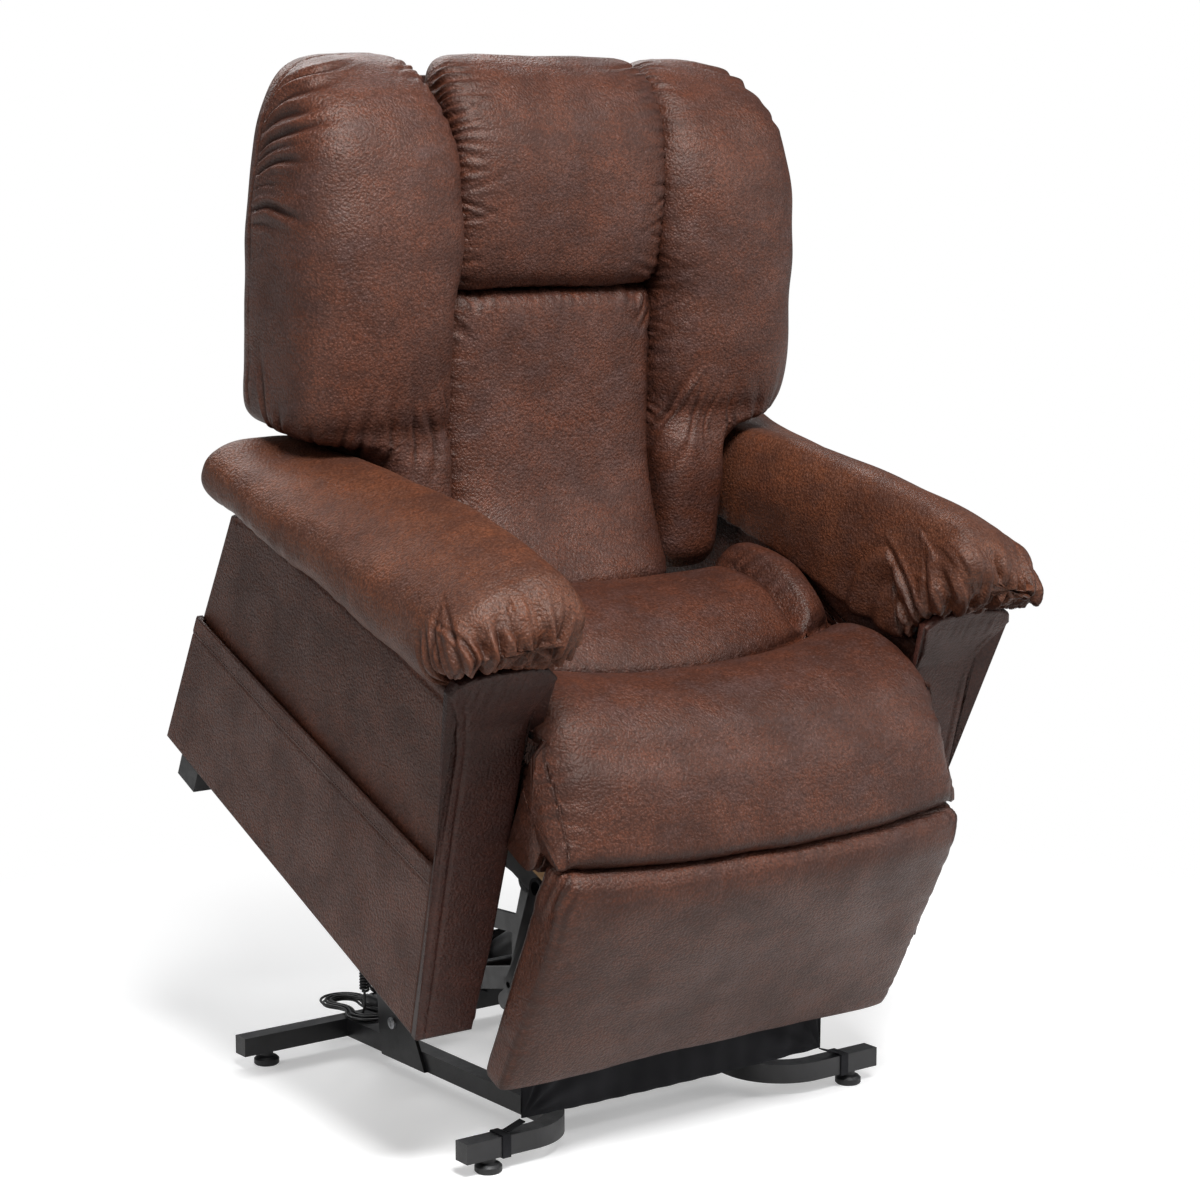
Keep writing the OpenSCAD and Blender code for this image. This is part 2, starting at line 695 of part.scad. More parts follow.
// The front edge of an arm leans back: points [Y, Z] from the foot to the gathered top
arm_low = -20;
front_edge = [[22, arm_low], [68, 212], [94, 372], [84, 430]];
front_t = 14;
function edge_y(z) = lookup(z, [for (p = front_edge) [p[1], p[0]]]);
function behind_front(zs) = [for (z = zs) [edge_y(z) + front_t + 0.2, z]];
side_outline = concat(
  [
    [681, arm_low], [669, 170], [655, 330], [640, 340], [600, 353], [540, 366],
    [360, 382], [230, 390], [129, 398]
  ],
  behind_front([398, 372, 212, arm_low])
);
panel_t = 12;
pocket_gap = 6;
side_t = 3;
panel_x = side_x - side_t - pocket_gap - panel_t;

module side_panel() { x_plate(panel_x, panel_t, side_outline); }
module side_panel_right() { color(leather) in_chair() side_panel(); }
module side_panel_left() { color(leather) in_chair() mirror([1, 0, 0]) side_panel(); }

// Pocket on the left: an outer sheet along the whole panel, open at its top edge
pocket_rim = 3;
module side_pocket() {
  top_front = 195;
  top_rear = 173;
  x0 = panel_x + panel_t;
  outline = concat([[679, arm_low], [668, top_rear]], behind_front([top_front, arm_low]));
  color(leather) in_chair() mirror([1, 0, 0]) difference() {
    x_plate(x0, pocket_gap + side_t, outline);
    x_plate(x0 - 1, pocket_gap + 1,
      [[667, arm_low + 11], [656, top_rear + 40], [edge_y(245) + front_t + 10, 245],
        [edge_y(arm_low + 11) + front_t + 10, arm_low + 11]]);
  }
}

// Small pocket on the right that holds the hand control
pouch_y = [120, 214];
pouch_z = [170, 281];
pouch_in = 26;
module control_pocket() {
  x0 = panel_x + panel_t;
  color(leather) in_chair() difference() {
    translate([x0, pouch_y[0], pouch_z[0]])
      cube([pouch_in + side_t, pouch_y[1] - pouch_y[0], pouch_z[1] - pouch_z[0]]);
    translate([x0 - 1, pouch_y[0] + side_t, pouch_z[0] + side_t])
      cube([pouch_in + 1, pouch_y[1] - pouch_y[0] - 2 * side_t, pouch_z[1] - pouch_z[0]]);
  }
}

// Timber of one arm: boards that the upholstery is stapled to
board = 18;
module arm_frame() {
  x0 = arm_in_x + panel_t + 1;
  x1 = panel_x - 0.2;
  wide = x1 - x0;
  low = arm_low + 2;
  post_y = 632;
  front = [for (p = behind_front([low, 212, 372])) [p[0] + 1, p[1]]];
  low_from = edge_y(low + board) + front_t + board + 1.6;
  translate([x0, 0, 0]) {
    x_plate(0, wide, concat(front, [for (i = [2:-1:0]) front[i] + [board, 0]]));
    translate([0, low_from, low]) cube([wide, post_y - 0.4 - low_from, board]);
    translate([0, post_y, low]) cube([wide, board, 338]);
    x_plate(0, wide, [
      [front[2][0] + board + 0.4, 372], [post_y - 0.4, 338], [post_y - 0.4, 320],
      [front[2][0] + board - 1.5, 354]
    ]);
  }
}
module arm_frames() { color(ply) in_chair() both() arm_frame(); }

module arm_brackets() {
  from = seat_plate_x + deck_side_w - 3 + 0.2;
  color(steel_grey) in_chair() both() for (y = [150, 360])
    translate([from, y, deck_z + 3]) cube([arm_in_x - from - 0.4, 40, 16]);
}

module inner_arm_panels() {
  color(leather_dark) in_chair() both()
    x_plate(arm_in_x, panel_t, concat(
      [
        [662, arm_low + 1], [648, 330], [640, 340], [600, 353], [540, 366],
        [360, 382], [230, 390], [129, 398]
      ],
      behind_front([398, 372, 212, arm_low + 1])));
}

// Front face of an arm: narrow at the foot and flared under the pad
module arm_front() {
  back_edge = [for (i = [3:-1:0]) front_edge[i] + [front_t, 0]];
  intersection() {
    x_plate(arm_in_x - 60, 180, concat(front_edge, back_edge));
    translate([0, 140, 0]) rotate([90, 0, 0]) linear_extrude(180) polygon([
      [arm_in_x + 14, arm_low - 1], [side_x, arm_low - 1], [side_x, 345], [side_x + 8, 385],
      [side_x + 35, 431], [arm_in_x - 20, 431], [arm_in_x - 4, 392], [arm_in_x - 4, 200],
      [arm_in_x + 2, 90]
    ]);
  }
}
module arm_fronts() { color(leather_dark) in_chair() both() arm_front(); }

// Padded top of an arm, as [Y, half width, bottom, top, slope down towards the outside]
pad_x = 363;
pad_stations = [
  [30, 36, 490, 510, 0.3], [35, 56, 476, 522, 0.34], [45, 71, 458, 533, 0.38], [62, 80, 442, 543, 0.38],
  [82, 83, 436, 553, 0.36], [99, 84, 434, 559, 0.34], [112, 84, 418, 561, 0.34], [140, 84, 406, 561, 0.33],
  [172, 84, 402, 557, 0.35], [230, 84, 396, 545, 0.4], [300, 84, 391, 530, 0.42],
  [367, 84, 387, 516, 0.38], [430, 84, 381, 499, 0.33], [540, 84, 372, 466, 0.23],
  [600, 84, 359, 445, 0.16], [630, 81, 349, 434, 0.13], [646, 72, 346, 424, 0.1], [654, 50, 362, 406, 0.05]
];
pad_points = 20;
function pad_ring(s) = [
  for (j = [0:pad_points - 1])
    let (
      a = 360 * j / pad_points, up = power_round(cos(a), 2.6), out = power_round(sin(a), 2.6),
      x = arm_pad_half_w / 84 * s[1] * out
    )
    [pad_x + x, s[0], (s[2] + s[3]) / 2 + (s[3] - s[2]) / 2 * up - s[4] * x * (up + 1) / 2]
];
module arm_pad() { ring_solid([for (s = pad_stations) pad_ring(s)]); }
module arm_pad_right() { color(leather) in_chair() arm_pad(); }
module arm_pad_left() { color(leather) in_chair() mirror([1, 0, 0]) arm_pad(); }

module rear_skirt() {
  color(leather_dark) in_chair() translate([-318, 663, arm_low + 1]) cube([636, 12, 110]);
}
module rear_foot_blocks() {
  color(plastic_black) in_chair() both() translate([side_x - 45, 590, arm_low - 30]) cube([44, 45, 29.8]);
}

// ============================================================ hand control

control_at = [panel_x + panel_t + 2, 126, 176];
control_size = [22, 82, 170];
control_top_r = control_size[1] / 2;
button_r = 12;
button_y = control_at[1] + control_top_r;
button_up_z = 324;
button_down_z = 296;
module hand_control() {
  color(plastic_black) in_chair() difference() {
    translate([control_at[0], control_at[1], control_at[2]]) union() {
      cube([control_size[0], control_size[1], control_size[2] - control_top_r]);
      translate([0, control_top_r, control_size[2] - control_top_r]) rotate([0, 90, 0])
        cylinder(r = control_top_r, h = control_size[0]);
    }
    for (z = [button_up_z, button_down_z])
      x_rod([button_y, z], button_r + 0.4, control_at[0] + control_size[0] - 5, 6);
  }
}
module push_button(z) {
  x_rod([button_y, z], button_r, control_at[0] + control_size[0] - 3.2, 5.4);
}
module button_up() { color(zinc) in_chair() push_button(button_up_z); }
module button_down() { color(zinc) in_chair() push_button(button_down_z); }

// ============================================================ footrest

module footrest_drive() {
  reach = drive_x + link_t - 1.5;
  color(steel_black) in_chair() {
    difference() {
      union() {
        x_rod(drive_pivot, drive_r, -reach, 2 * reach);
        both() solid_bar(drive_pivot, knee, drive_x, link_t, 26);
        both() solid_bar(drive_pivot, crank_pin, lever_x, lever_t, 29);
        for (x = [-clevis_in - clevis_t, clevis_in])
          solid_bar(drive_pivot, crank_pin, recline_motor_x + x, clevis_t, 29);
      }
      x_rod(drive_pivot, drive_r - 2, -reach - 3, 2 * reach + 6);
      both() x_rod(knee, 5 + run_gap, drive_x - 1, link_t + 2);
      x_rod(crank_pin, 6, -100, 100);
    }
    both() x_rod(crank_pin, 5, bar_x - 1, lever_x + lever_t - bar_x + 2);
  }
}
module footrest_upper_links() {
  color(steel_black) in_chair() both() {
    difference() {
      solid_bar(knee, footrest_pivot, upper_x, link_t, 22);
      x_rod(footrest_pivot, 5 + run_gap, upper_x - 1, link_t + 2);
    }
    x_rod(knee, 5, drive_x - 2, upper_x - drive_x + 5);
    x_rod(knee, 8, drive_x - 4, 3);
  }
}
module footrest_control_links() {
  far = polar(control_pivot, control_len, control_angle);
  color(steel_black) in_chair() both() link_bar(control_pivot, far, control_x, link_t, 20, 5 + run_gap, 4);
}
module footrest_board() {
  color(ply) in_chair() {
    translate([-285, -11.6, -50]) cube([570, 12, 255]);
    both() {
      translate([drive_x, 0.2, 30]) cube([link_t, 21.8, 122]);
      x_rod(footrest_pivot, 5, drive_x - 1.5, upper_x + link_t - drive_x + 2.5);
    }
  }
}

// Padded face, bowed forward in the middle, as [Z, half width, front at the sides, rear]
footrest_stations = [
  [-66, 0.965, -36, -17], [-61, 0.988, -44, -13], [-40, 1, -49, -12], [40, 1, -53, -12],
  [140, 1, -54, -12], [215, 1, -46, -12], [242, 0.985, -36, -13], [249, 0.96, -28, -17]
];
footrest_bow = 34;
function bow_at(share) = footrest_bow * (1 - pow(abs(share), 3));
module footrest_pad() {
  color(leather) in_chair() ring_solid([for (s = footrest_stations)
    [for (j = [0:27]) let (a = 360 * j / 28, x = power_round(cos(a), 3), y = power_round(sin(a), 5)) [
      footrest_half_w * s[1] * x,
      (s[2] + s[3]) / 2 + (s[3] - s[2]) / 2 * y - bow_at(x) * max(0, -y),
      s[0]
    ]]]);
}

module recline_bars() {
  color(steel_black) in_chair() both()
    link_bar(crank_pin, lever_pin, bar_x, bar_t, 20, 5 + run_gap, 4);
}

// ============================================================ back

module back_levers() {
  color(steel_black) in_chair() both() across(lever_x, lever_t) difference() {
    union() {
      link_outline(hinge, lever_pin, 30);
      translate(hinge) rotate(-back_rake) translate([-12, 0]) square([24, 180]);
    }
    translate(hinge) circle(6 + run_gap);
    translate(lever_pin) circle(5);
  }
}
module back_frame() {
  wide = 2 * (lever_x - 0.2);
  color(ply) in_back() {
    both() translate([lever_x - 0.2 - 40, -14, 40]) cube([40, 26, 640]);
    for (z = [60, 300, 640])
      translate([-wide / 2 + 40.2, -14, z]) cube([wide - 80.4, 22, 40]);
    translate([-300, -14, 680.2]) cube([600, 26, 40]);
    both() translate([lever_x + lever_t + 0.2, -14, 420]) cube([60, 22, 60]);
  }
}
cover_half_w = 352;
cover_low = 60;
cover_high = 742;
cover_corner = 95;
cover_waist = 318;          // below this height the cover passes between the arms
module cover_outline(grow) {
  offset(delta = grow) {
    translate([-272, cover_low]) square([544, cover_waist - cover_low + 1]);
    translate([-cover_half_w, cover_waist])
      square([2 * cover_half_w, cover_high - cover_corner - cover_waist]);
    translate([-cover_half_w + cover_corner, cover_waist])
      square([2 * (cover_half_w - cover_corner), cover_high - cover_waist]);
    for (side = [-1, 1])
      translate([side * (cover_half_w - cover_corner), cover_high - cover_corner]) circle(cover_corner);
  }
}
module upright(n, t) { translate([0, n, 0]) rotate([90, 0, 0]) linear_extrude(t) children(); }
module back_panel() { color(leather_dark) in_back() upright(48, 16) cover_outline(0); }

// Side wing, as [Z, inner X, outer X, front, rear]; the rear edge laps round the rear cover
wing_stations = [
  [104, 190, 246, -112, -52], [112, 174, 262, -142, -34], [140, 166, 268, -160, -20],
  [210, 165, 271, -165, -17], [270, 165, 275, -162, -17], [292, 165, 300, -158, -16],
  [306, 165, 350, -156, 0], [320, 165, 372, -158, 36], [350, 165, 380, -166, 46],
  [430, 165, 384, -173, 47], [520, 165, 384, -173, 47], [600, 165, 381, -165, 47],
  [670, 166, 371, -146, 47], [715, 168, 356, -116, 46], [742, 176, 338, -84, 42],
  [758, 188, 316, -56, 34], [766, 204, 290, -34, 22], [768, 222, 264, -20, 6]
];
wing_points = 24;
function wing_ring(s) = [
  for (j = [0:wing_points - 1])
    let (
      a = 360 * j / wing_points, square_end = sin(a) > 0 && cos(a) > 0 ? 5 : 3
    )
    [
      (s[1] + s[2]) / 2 + (s[2] - s[1]) / 2 * power_round(cos(a), square_end),
      (s[3] + s[4]) / 2 + (s[4] - s[3]) / 2 * power_round(sin(a), square_end),
      s[0]
    ]
];
module wing() {
  difference() {
    ring_solid([for (s = wing_stations) wing_ring(s)]);
    translate([0, -18, 20]) cube([lever_x + lever_t + 0.4, 60, 710]);
    translate([0, -18, 410]) cube([290, 60, 80]);
    translate([0, -18, 676]) cube([302, 32, 50]);
    upright(60, 28.4) cover_outline(0.4);
  }
}
module wing_right() { color(leather) in_back() wing(); }
module wing_left() { color(leather) in_back() mirror([1, 0, 0]) wing(); }

// Pillow, as [Z, half width, front, rear]
function pillow_ring(s, n) = [
  for (j = [0:19]) let (a = 18 * j) [
    pillow_half_w * s[1] * power_round(cos(a), n),
    (s[2] + s[3]) / 2 + (s[3] - s[2]) / 2 * power_round(sin(a), n),
    s[0]
  ]
];
head_stations = [
  [484, 0.9, -112, -30], [490, 0.97, -128, -20], [515, 0.995, -141, -16], [580, 0.995, -148, -16],
  [650, 0.995, -146, -16], [705, 0.985, -130, -16], [742, 0.96, -104, -16], [762, 0.88, -76, -22],
  [768, 0.76, -60, -34]
];
module head_pillow() { color(leather) in_back() ring_solid([for (s = head_stations) pillow_ring(s, 3.4)]); }

lumbar_stations = [
  [100, 0.86, -190, -110], [106, 0.95, -205, -60], [124, 0.99, -210, -20], [170, 0.995, -178, -16],
  [230, 0.995, -150, -16], [300, 0.995, -136, -16], [380, 0.995, -130, -16], [450, 0.995, -128, -16],
  [474, 0.98, -122, -18], [481, 0.93, -108, -26]
];
module lumbar_pillow() { color(leather) in_back() ring_solid([for (s = lumbar_stations) pillow_ring(s, 4)]); }

// ============================================================ the parts

base_rail_left();
base_rail_right();
rear_cross_tube();
front_cross_tube();
tube_end_caps();
foot_glides();
lift_brackets();
bracket_bolts();
motor_clevis();
base_shroud();
shroud_straps();
control_box();
cord_hook();
cord_lead();
curly_cord();
cord_hank();
power_plug();
lift_arms();
lift_torque_tube();
upper_lift_links();
lift_motor();
lift_actuator_tube();
lift_rod();
carriage_plates();
carriage_tubes();
carriage_pins();
seat_side_plates();
seat_frame();
seat_springs();
seat_cushion();
arm_frames();
arm_brackets();
side_panel_left();
side_panel_right();
inner_arm_panels();
arm_fronts();
arm_pad_left();
arm_pad_right();
side_pocket();
control_pocket();
rear_skirt();
rear_foot_blocks();
hand_control();
button_up();
button_down();
footrest_drive();
footrest_upper_links();
footrest_control_links();
footrest_board();
footrest_pad();
recline_bars();
recline_motor();
recline_rod();
back_frame();
back_levers();
back_panel();
wing_left();
wing_right();
head_pillow();
lumbar_pillow();
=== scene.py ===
# %% [markdown]
# # Lift recliner chair, raised for standing up
# The hard parts (base, linkage, actuators, timber) come from the CAD frame and only get finishes.
# Everything that is upholstered is built here, over the plain solids that hold its place.

# %% Tools and the CAD frame
import json
import math

import bpy
import bmesh
import numpy as np
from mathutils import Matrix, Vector


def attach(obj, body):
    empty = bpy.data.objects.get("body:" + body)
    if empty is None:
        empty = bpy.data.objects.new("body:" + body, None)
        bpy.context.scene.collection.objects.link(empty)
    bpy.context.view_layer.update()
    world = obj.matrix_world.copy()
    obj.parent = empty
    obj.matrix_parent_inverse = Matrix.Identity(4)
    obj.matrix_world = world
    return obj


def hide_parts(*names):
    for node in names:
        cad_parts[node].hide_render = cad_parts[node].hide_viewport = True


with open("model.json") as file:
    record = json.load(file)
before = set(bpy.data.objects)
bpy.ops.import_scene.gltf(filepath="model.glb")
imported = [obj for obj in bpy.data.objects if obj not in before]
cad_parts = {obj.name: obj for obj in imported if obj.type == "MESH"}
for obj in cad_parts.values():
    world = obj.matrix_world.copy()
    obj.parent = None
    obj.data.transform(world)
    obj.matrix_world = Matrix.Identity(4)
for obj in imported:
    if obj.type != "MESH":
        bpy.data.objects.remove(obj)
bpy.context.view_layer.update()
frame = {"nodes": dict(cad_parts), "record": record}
nodes = frame["nodes"]

# %% [markdown]
# ## Three construction frames
# The chair body is built level and then tilted forward about its front bottom edge, and the back is
# built upright along its own board. Working in millimetres in those frames keeps the numbers the
# ones a maker would use. Two functions carry points into the shared frame in metres.

# %% Frames
TILT = math.radians(24.15)
RAKE = math.radians(20)
CHAIR_AT = (-222.0, 193.0)   # Y, Z of the chair frame's origin
HINGE = (560.0, 160.0)       # Y, Z of the back hinge in the chair frame


def from_chair(p):
    """Points [X, Y, Z] of the chair frame, in mm, as points of the shared frame, in m."""
    p = np.asarray(p, float)
    c, s = math.cos(TILT), math.sin(TILT)
    y, z = p[..., 1], p[..., 2]
    return np.stack([p[..., 0], CHAIR_AT[0] + y * c - z * s, CHAIR_AT[1] + y * s + z * c], -1) / 1000


def from_back(p):
    """Points [X, N, V] of the back frame: N towards the rear, V up along the back."""
    p = np.asarray(p, float)
    c, s = math.cos(RAKE), math.sin(RAKE)
    n, v = p[..., 1], p[..., 2]
    return from_chair(np.stack([p[..., 0], HINGE[0] + n * c + v * s, HINGE[1] - n * s + v * c], -1))


def from_base(p):
    """Points of the base frame, in mm, whose Y is 0 at the front feet."""
    return (np.asarray(p, float) + [0, -182, 0]) / 1000


print("top of the head pillow", from_back([0, -60, 768]).round(3))

# %% [markdown]
# ## Camera
# One long lens from the front left, a little above the seat. A long lens keeps the two arms
# nearly parallel.

# %% Camera
scene = bpy.context.scene
camera_data = bpy.data.cameras.new("camera")
camera_data.sensor_width = 36.0
camera_data.lens = 90.9
camera_data.clip_end = 50
camera = bpy.data.objects.new("camera", camera_data)
scene.collection.objects.link(camera)
camera.location = (-2.263, -3.079, 1.2545)
look_az, look_el = math.radians(-36.50), math.radians(9.02)
backward = Vector((math.sin(look_az) * math.cos(look_el), -math.cos(look_az) * math.cos(look_el),
                   math.sin(look_el)))
camera.rotation_euler = backward.to_track_quat("Z", "Y").to_euler()
scene.camera = camera
print("camera", tuple(round(v, 3) for v in camera.location))

# %% [markdown]
# ## Mesh helpers
# Most covers are lofts: rings of points stacked along an axis. `smooth_rows` puts smooth curves
# through a few listed stations and `shell` turns a stack of rings into one closed mesh with a pole
# at each end. `folds` presses a row of gathers into a surface along a seam, and `press_lines` presses
# single valleys along lines drawn in a flat view of it.

# %% Helpers for curves and rings
def smooth_rows(rows, count):
    """A Catmull-Rom curve through the rows, sampled evenly along its length."""
    rows = np.asarray(rows, float)
    flat = rows.reshape(len(rows), -1)
    ext = np.vstack([2 * flat[0] - flat[1], flat, 2 * flat[-1] - flat[-2]])
    fine = []
    steps = 24
    for i in range(len(flat) - 1):
        p0, p1, p2, p3 = ext[i:i + 4]
        for k in range(steps):
            t = k / steps
            fine.append(0.5 * (2 * p1 + (p2 - p0) * t + (2 * p0 - 5 * p1 + 4 * p2 - p3) * t * t
                               + (3 * p1 - p0 - 3 * p2 + p3) * t ** 3))
    fine.append(flat[-1])
    fine = np.array(fine)
    run = np.r_[0, np.cumsum(np.linalg.norm(np.diff(fine, axis=0), axis=1))]
    at = np.linspace(0, run[-1], count)
    out = np.stack([np.interp(at, run, fine[:, k]) for k in range(fine.shape[1])], 1)
    return out.reshape((count,) + rows.shape[1:])


def superpower(c, n):
    """A cosine or sine squared off by n: a ring of them is a rounded box."""
    return np.sign(c) * np.abs(c) ** (2 / n)


def waves(p, size, seed):
    """Soft repeatable noise from -1 to 1 over points in mm, about size mm across."""
    rng = np.random.default_rng(seed)
    total = np.zeros(p.shape[:-1])
    for _ in range(7):
        d = rng.normal(size=3)
        d /= np.linalg.norm(d)
        k = 2 * np.pi / (size * rng.uniform(0.7, 1.5))
        total += np.sin((p @ d) * k + rng.uniform(0, 6.28))
    return total / 3.6


def grid_normals(p):
    """Unit normals of a stack of closed rings of points."""
    du = np.gradient(p, axis=0)
    dv = (np.roll(p, -1, 1) - np.roll(p, 1, 1)) / 2
    n = np.cross(du, dv)
    return n / (np.linalg.norm(n, axis=-1, keepdims=True) + 1e-9)


def along_seam(p, seam):
    """For each point: the distance along a seam polyline to its nearest place, and how far off it is."""
    seam = np.asarray(seam, float)
    best, where = np.full(p.shape[:-1], 1e9), np.zeros(p.shape[:-1])
    run = 0.0
    for a, b in zip(seam[:-1], seam[1:]):
        d = b - a
        length = np.linalg.norm(d)
        t = np.clip(((p - a) @ d) / length ** 2, 0, 1)
        off = np.linalg.norm(p - (a + t[..., None] * d), axis=-1)
        near = off < best
        best, where = np.where(near, off, best), np.where(near, run + t * length, where)
        run += length
    return where, best


def folds(p, normals, seam, count, depth, reach, seed, width=9.0, fan=0.0, groove=0.0, groove_w=5.0):
    """Presses single folds into a surface: narrow valleys between full ridges, that start at the seam,
    spread out by fan (mm sideways per mm) and end at different lengths."""
    s, d = along_seam(p, smooth_rows(seam, 60))
    total = np.linalg.norm(np.diff(smooth_rows(seam, 60), axis=0), axis=1).sum()
    rng = np.random.default_rng(seed)
    move = -groove * np.exp(-(d / groove_w) ** 2)
    for k in range(count):
        at = total * (k + 0.5 + rng.uniform(-0.33, 0.33)) / count
        long = reach * rng.uniform(0.55, 1.3)
        deep = depth * rng.uniform(0.5, 1.15)
        lean = fan * (2 * at / total - 1) + rng.uniform(-0.22, 0.22)
        bend = rng.uniform(-0.25, 0.25) / reach
        u = (s - at - lean * d - bend * d * d) / (width * rng.uniform(0.75, 1.25) * (0.65 + 0.7 * d / long))
        fade = np.exp(-(d / long) ** 2.2) * np.minimum(1, 0.35 + d / (0.12 * reach))
        move = move + deep * fade * (0.6 * np.exp(-((np.abs(u) - 1.35) / 0.75) ** 2) - np.exp(-(u / 0.6) ** 2))
    return p + normals * move[..., None]


def press_lines(p, normals, at, lines, depth, width, weight=1.0):
    """Presses soft valleys into a surface along lines drawn in the flat view at (across, height)."""
    flat = np.stack([at[0], np.zeros(p.shape[:-1]), at[1]], -1)
    move = np.zeros(p.shape[:-1])
    for k, line in enumerate(lines):
        route = smooth_rows([[a, 0, b] for a, b in line], 24)
        s, d = along_seam(flat, route)
        share = s / s.max()
        taper = np.clip(share / 0.12, 0.3, 1) * np.clip((1 - share) / 0.5, 0, 1)
        u = d / (width * (0.8 + 0.12 * (k % 4)) * (0.7 + 0.9 * share))
        move += depth * taper * (0.45 * np.exp(-((u - 2.1) / 0.9) ** 2) - np.exp(-(u / 0.85) ** 2))
    return p + normals * (move * weight)[..., None]


print("helpers ready")

# %% Helpers that make objects
def link(name, mesh):
    obj = bpy.data.objects.new(name, mesh)
    scene.collection.objects.link(obj)
    return obj


def shade(mesh):
    mesh.polygons.foreach_set("use_smooth", np.ones(len(mesh.polygons), bool))


def outward(mesh):
    """Turns the faces of a closed mesh outwards."""
    bm = bmesh.new()
    bm.from_mesh(mesh)
    bmesh.ops.recalc_face_normals(bm, faces=bm.faces)
    bm.to_mesh(mesh)
    bm.free()


def crest_of(p, step=2):
    """How far each point stands out of its neighbours, in mm: ridges above 0, hollows below."""
    up = np.concatenate([p[step:], np.repeat(p[-1:], step, 0)])
    down = np.concatenate([np.repeat(p[:1], step, 0), p[:-step]])
    side = np.roll(p, step, 1) + np.roll(p, -step, 1)
    return -np.einsum("ijk,ijk->ij", (up + down + side) / 4 - p, grid_normals(p))


def shell(name, p, place):
    """One closed mesh from rings p[i, j] in mm, with the crest of each point as an attribute."""
    m, n = p.shape[:2]
    crest = crest_of(p)
    middle = [p[0].mean(0), p[-1].mean(0)]
    verts = np.vstack([place(p.reshape(-1, 3)), place(np.array(middle))])
    i, j = np.meshgrid(np.arange(m - 1), np.arange(n), indexing="ij")
    a, b = (i * n + j).ravel(), (i * n + (j + 1) % n).ravel()
    faces = np.stack([a, b, b + n, a + n], 1).tolist()
    faces += [[m * n, (k + 1) % n, k] for k in range(n)]
    faces += [[m * n + 1, (m - 1) * n + k, (m - 1) * n + (k + 1) % n] for k in range(n)]
    mesh = bpy.data.meshes.new(name)
    mesh.from_pydata(verts.tolist(), [], faces)
    outward(mesh)
    shade(mesh)
    values = np.r_[crest.ravel(), crest[0].mean(), crest[-1].mean()].astype(np.float32)
    mesh.attributes.new("crest", "FLOAT", "POINT").data.foreach_set("value", values)
    return link(name, mesh)


print("object helpers ready")

# %% [markdown]
# ## The power cord
# A thin flexible lead leaves the control box at the rear of the base, hangs over a peg, runs down in
# a curly stretch and ends in a tied hank with its plug. It is one length of cable, so it is swept as
# one tube: a ring of points carried along the route without twisting. The free parts of the route
# are listed as points and the curls and loops come from formulas.

# %% Route of the cord
CORD_D = 3.6
CURLS, CURL_RINGS, CURL_R = 23, 24, 5.4
HANK_RINGS, HANK_UP, HANK_DOWN = 48, 3, 2.5
lead = [
    [-83, 523, 62], [-87, 523, 62], [-100, 523, 63], [-118, 523, 72], [-132, 522, 92],
    [-142, 521, 120], [-148, 520, 150], [-150, 519, 180], [-150, 519, 205],
    [-150, 517.5, 210.5], [-150, 513.5, 214.5], [-150, 508, 216], [-150, 502.5, 214.5],
    [-150, 498.5, 210.5], [-150, 497, 205], [-150, 497, 196], [-150, 497, 186], [-150, 497, 182],
]
hank_in = [[-148, 500, 78], [-148, 500, 74], [-148, 500, 66], [-148.2, 501, 58], [-148.6, 503.5, 51]]
hank_out = [
    [-117.8, 568, 51.6], [-118.5, 561, 53.6], [-120, 553, 57], [-121.5, 546, 60.4],
    [-122, 540, 61.8], [-122, 536, 62],
]


def unit(v):
    return v / np.linalg.norm(v)


def curl_points(top, bottom, straight=4.0):
    """A helix between two points that opens out and closes again over its first and last half turn."""
    axis = unit(bottom - top)
    length = np.linalg.norm(bottom - top)
    u = unit(np.array([0, 1, 0]) - axis[1] * axis)
    w = np.cross(axis, u)
    points = [top]
    for i in range(CURLS * CURL_RINGS + 1):
        k = i / CURL_RINGS
        reach = CURL_R * min(1, k / 0.5, (CURLS - k) / 0.5)
        a = 2 * math.pi * k
        along = straight + (length - 2 * straight) * k / CURLS
        points.append(top + axis * along + reach * (math.cos(a) * u + math.sin(a) * w))
    return points + [bottom]


def hank_points(middle=(-135, 541), run=33, radius=14, step=6.8, floor=46.1, climb=4.6, waist=0.36):
    """Long loops that spiral out, climb a layer and spiral in again, drawn in at the waist."""
    points = []
    half = HANK_RINGS // 2
    straight = 10
    for i in range(int(HANK_RINGS * (HANK_UP + HANK_DOWN)) + 1):
        t = i / HANK_RINGS
        r = radius + step * (t if t < HANK_UP else 2 * HANK_UP - t)
        k = i % half
        side = 1 if i % HANK_RINGS < half else -1
        if k <= straight:
            q = -run + 2 * run * k / straight
            p = -r * (1 - waist * (1 - (q / run) ** 2) ** 2)
        else:
            turn = math.pi * (k - straight) / (half - straight)
            q, p = run + r * math.sin(turn), -r * math.cos(turn)
        lift = climb * min(1, max(0, (t - HANK_UP + 0.25) / 0.5))
        points.append([middle[0] + side * p, middle[1] + side * q, floor + lift])
    return points


def rounded(points, per_step=4):
    """More points on a listed route, on a curve through the given ones."""
    return smooth_rows(points, (len(points) - 1) * per_step + 1)


cord_route = np.vstack([
    rounded(lead), np.array(curl_points(np.array([-150.0, 497, 182]), np.array([-148.0, 500, 78])))[1:-1],
    rounded(hank_in)[:-1], np.array([hank_in[-1]]), np.array(hank_points())[1:], rounded(hank_out),
])


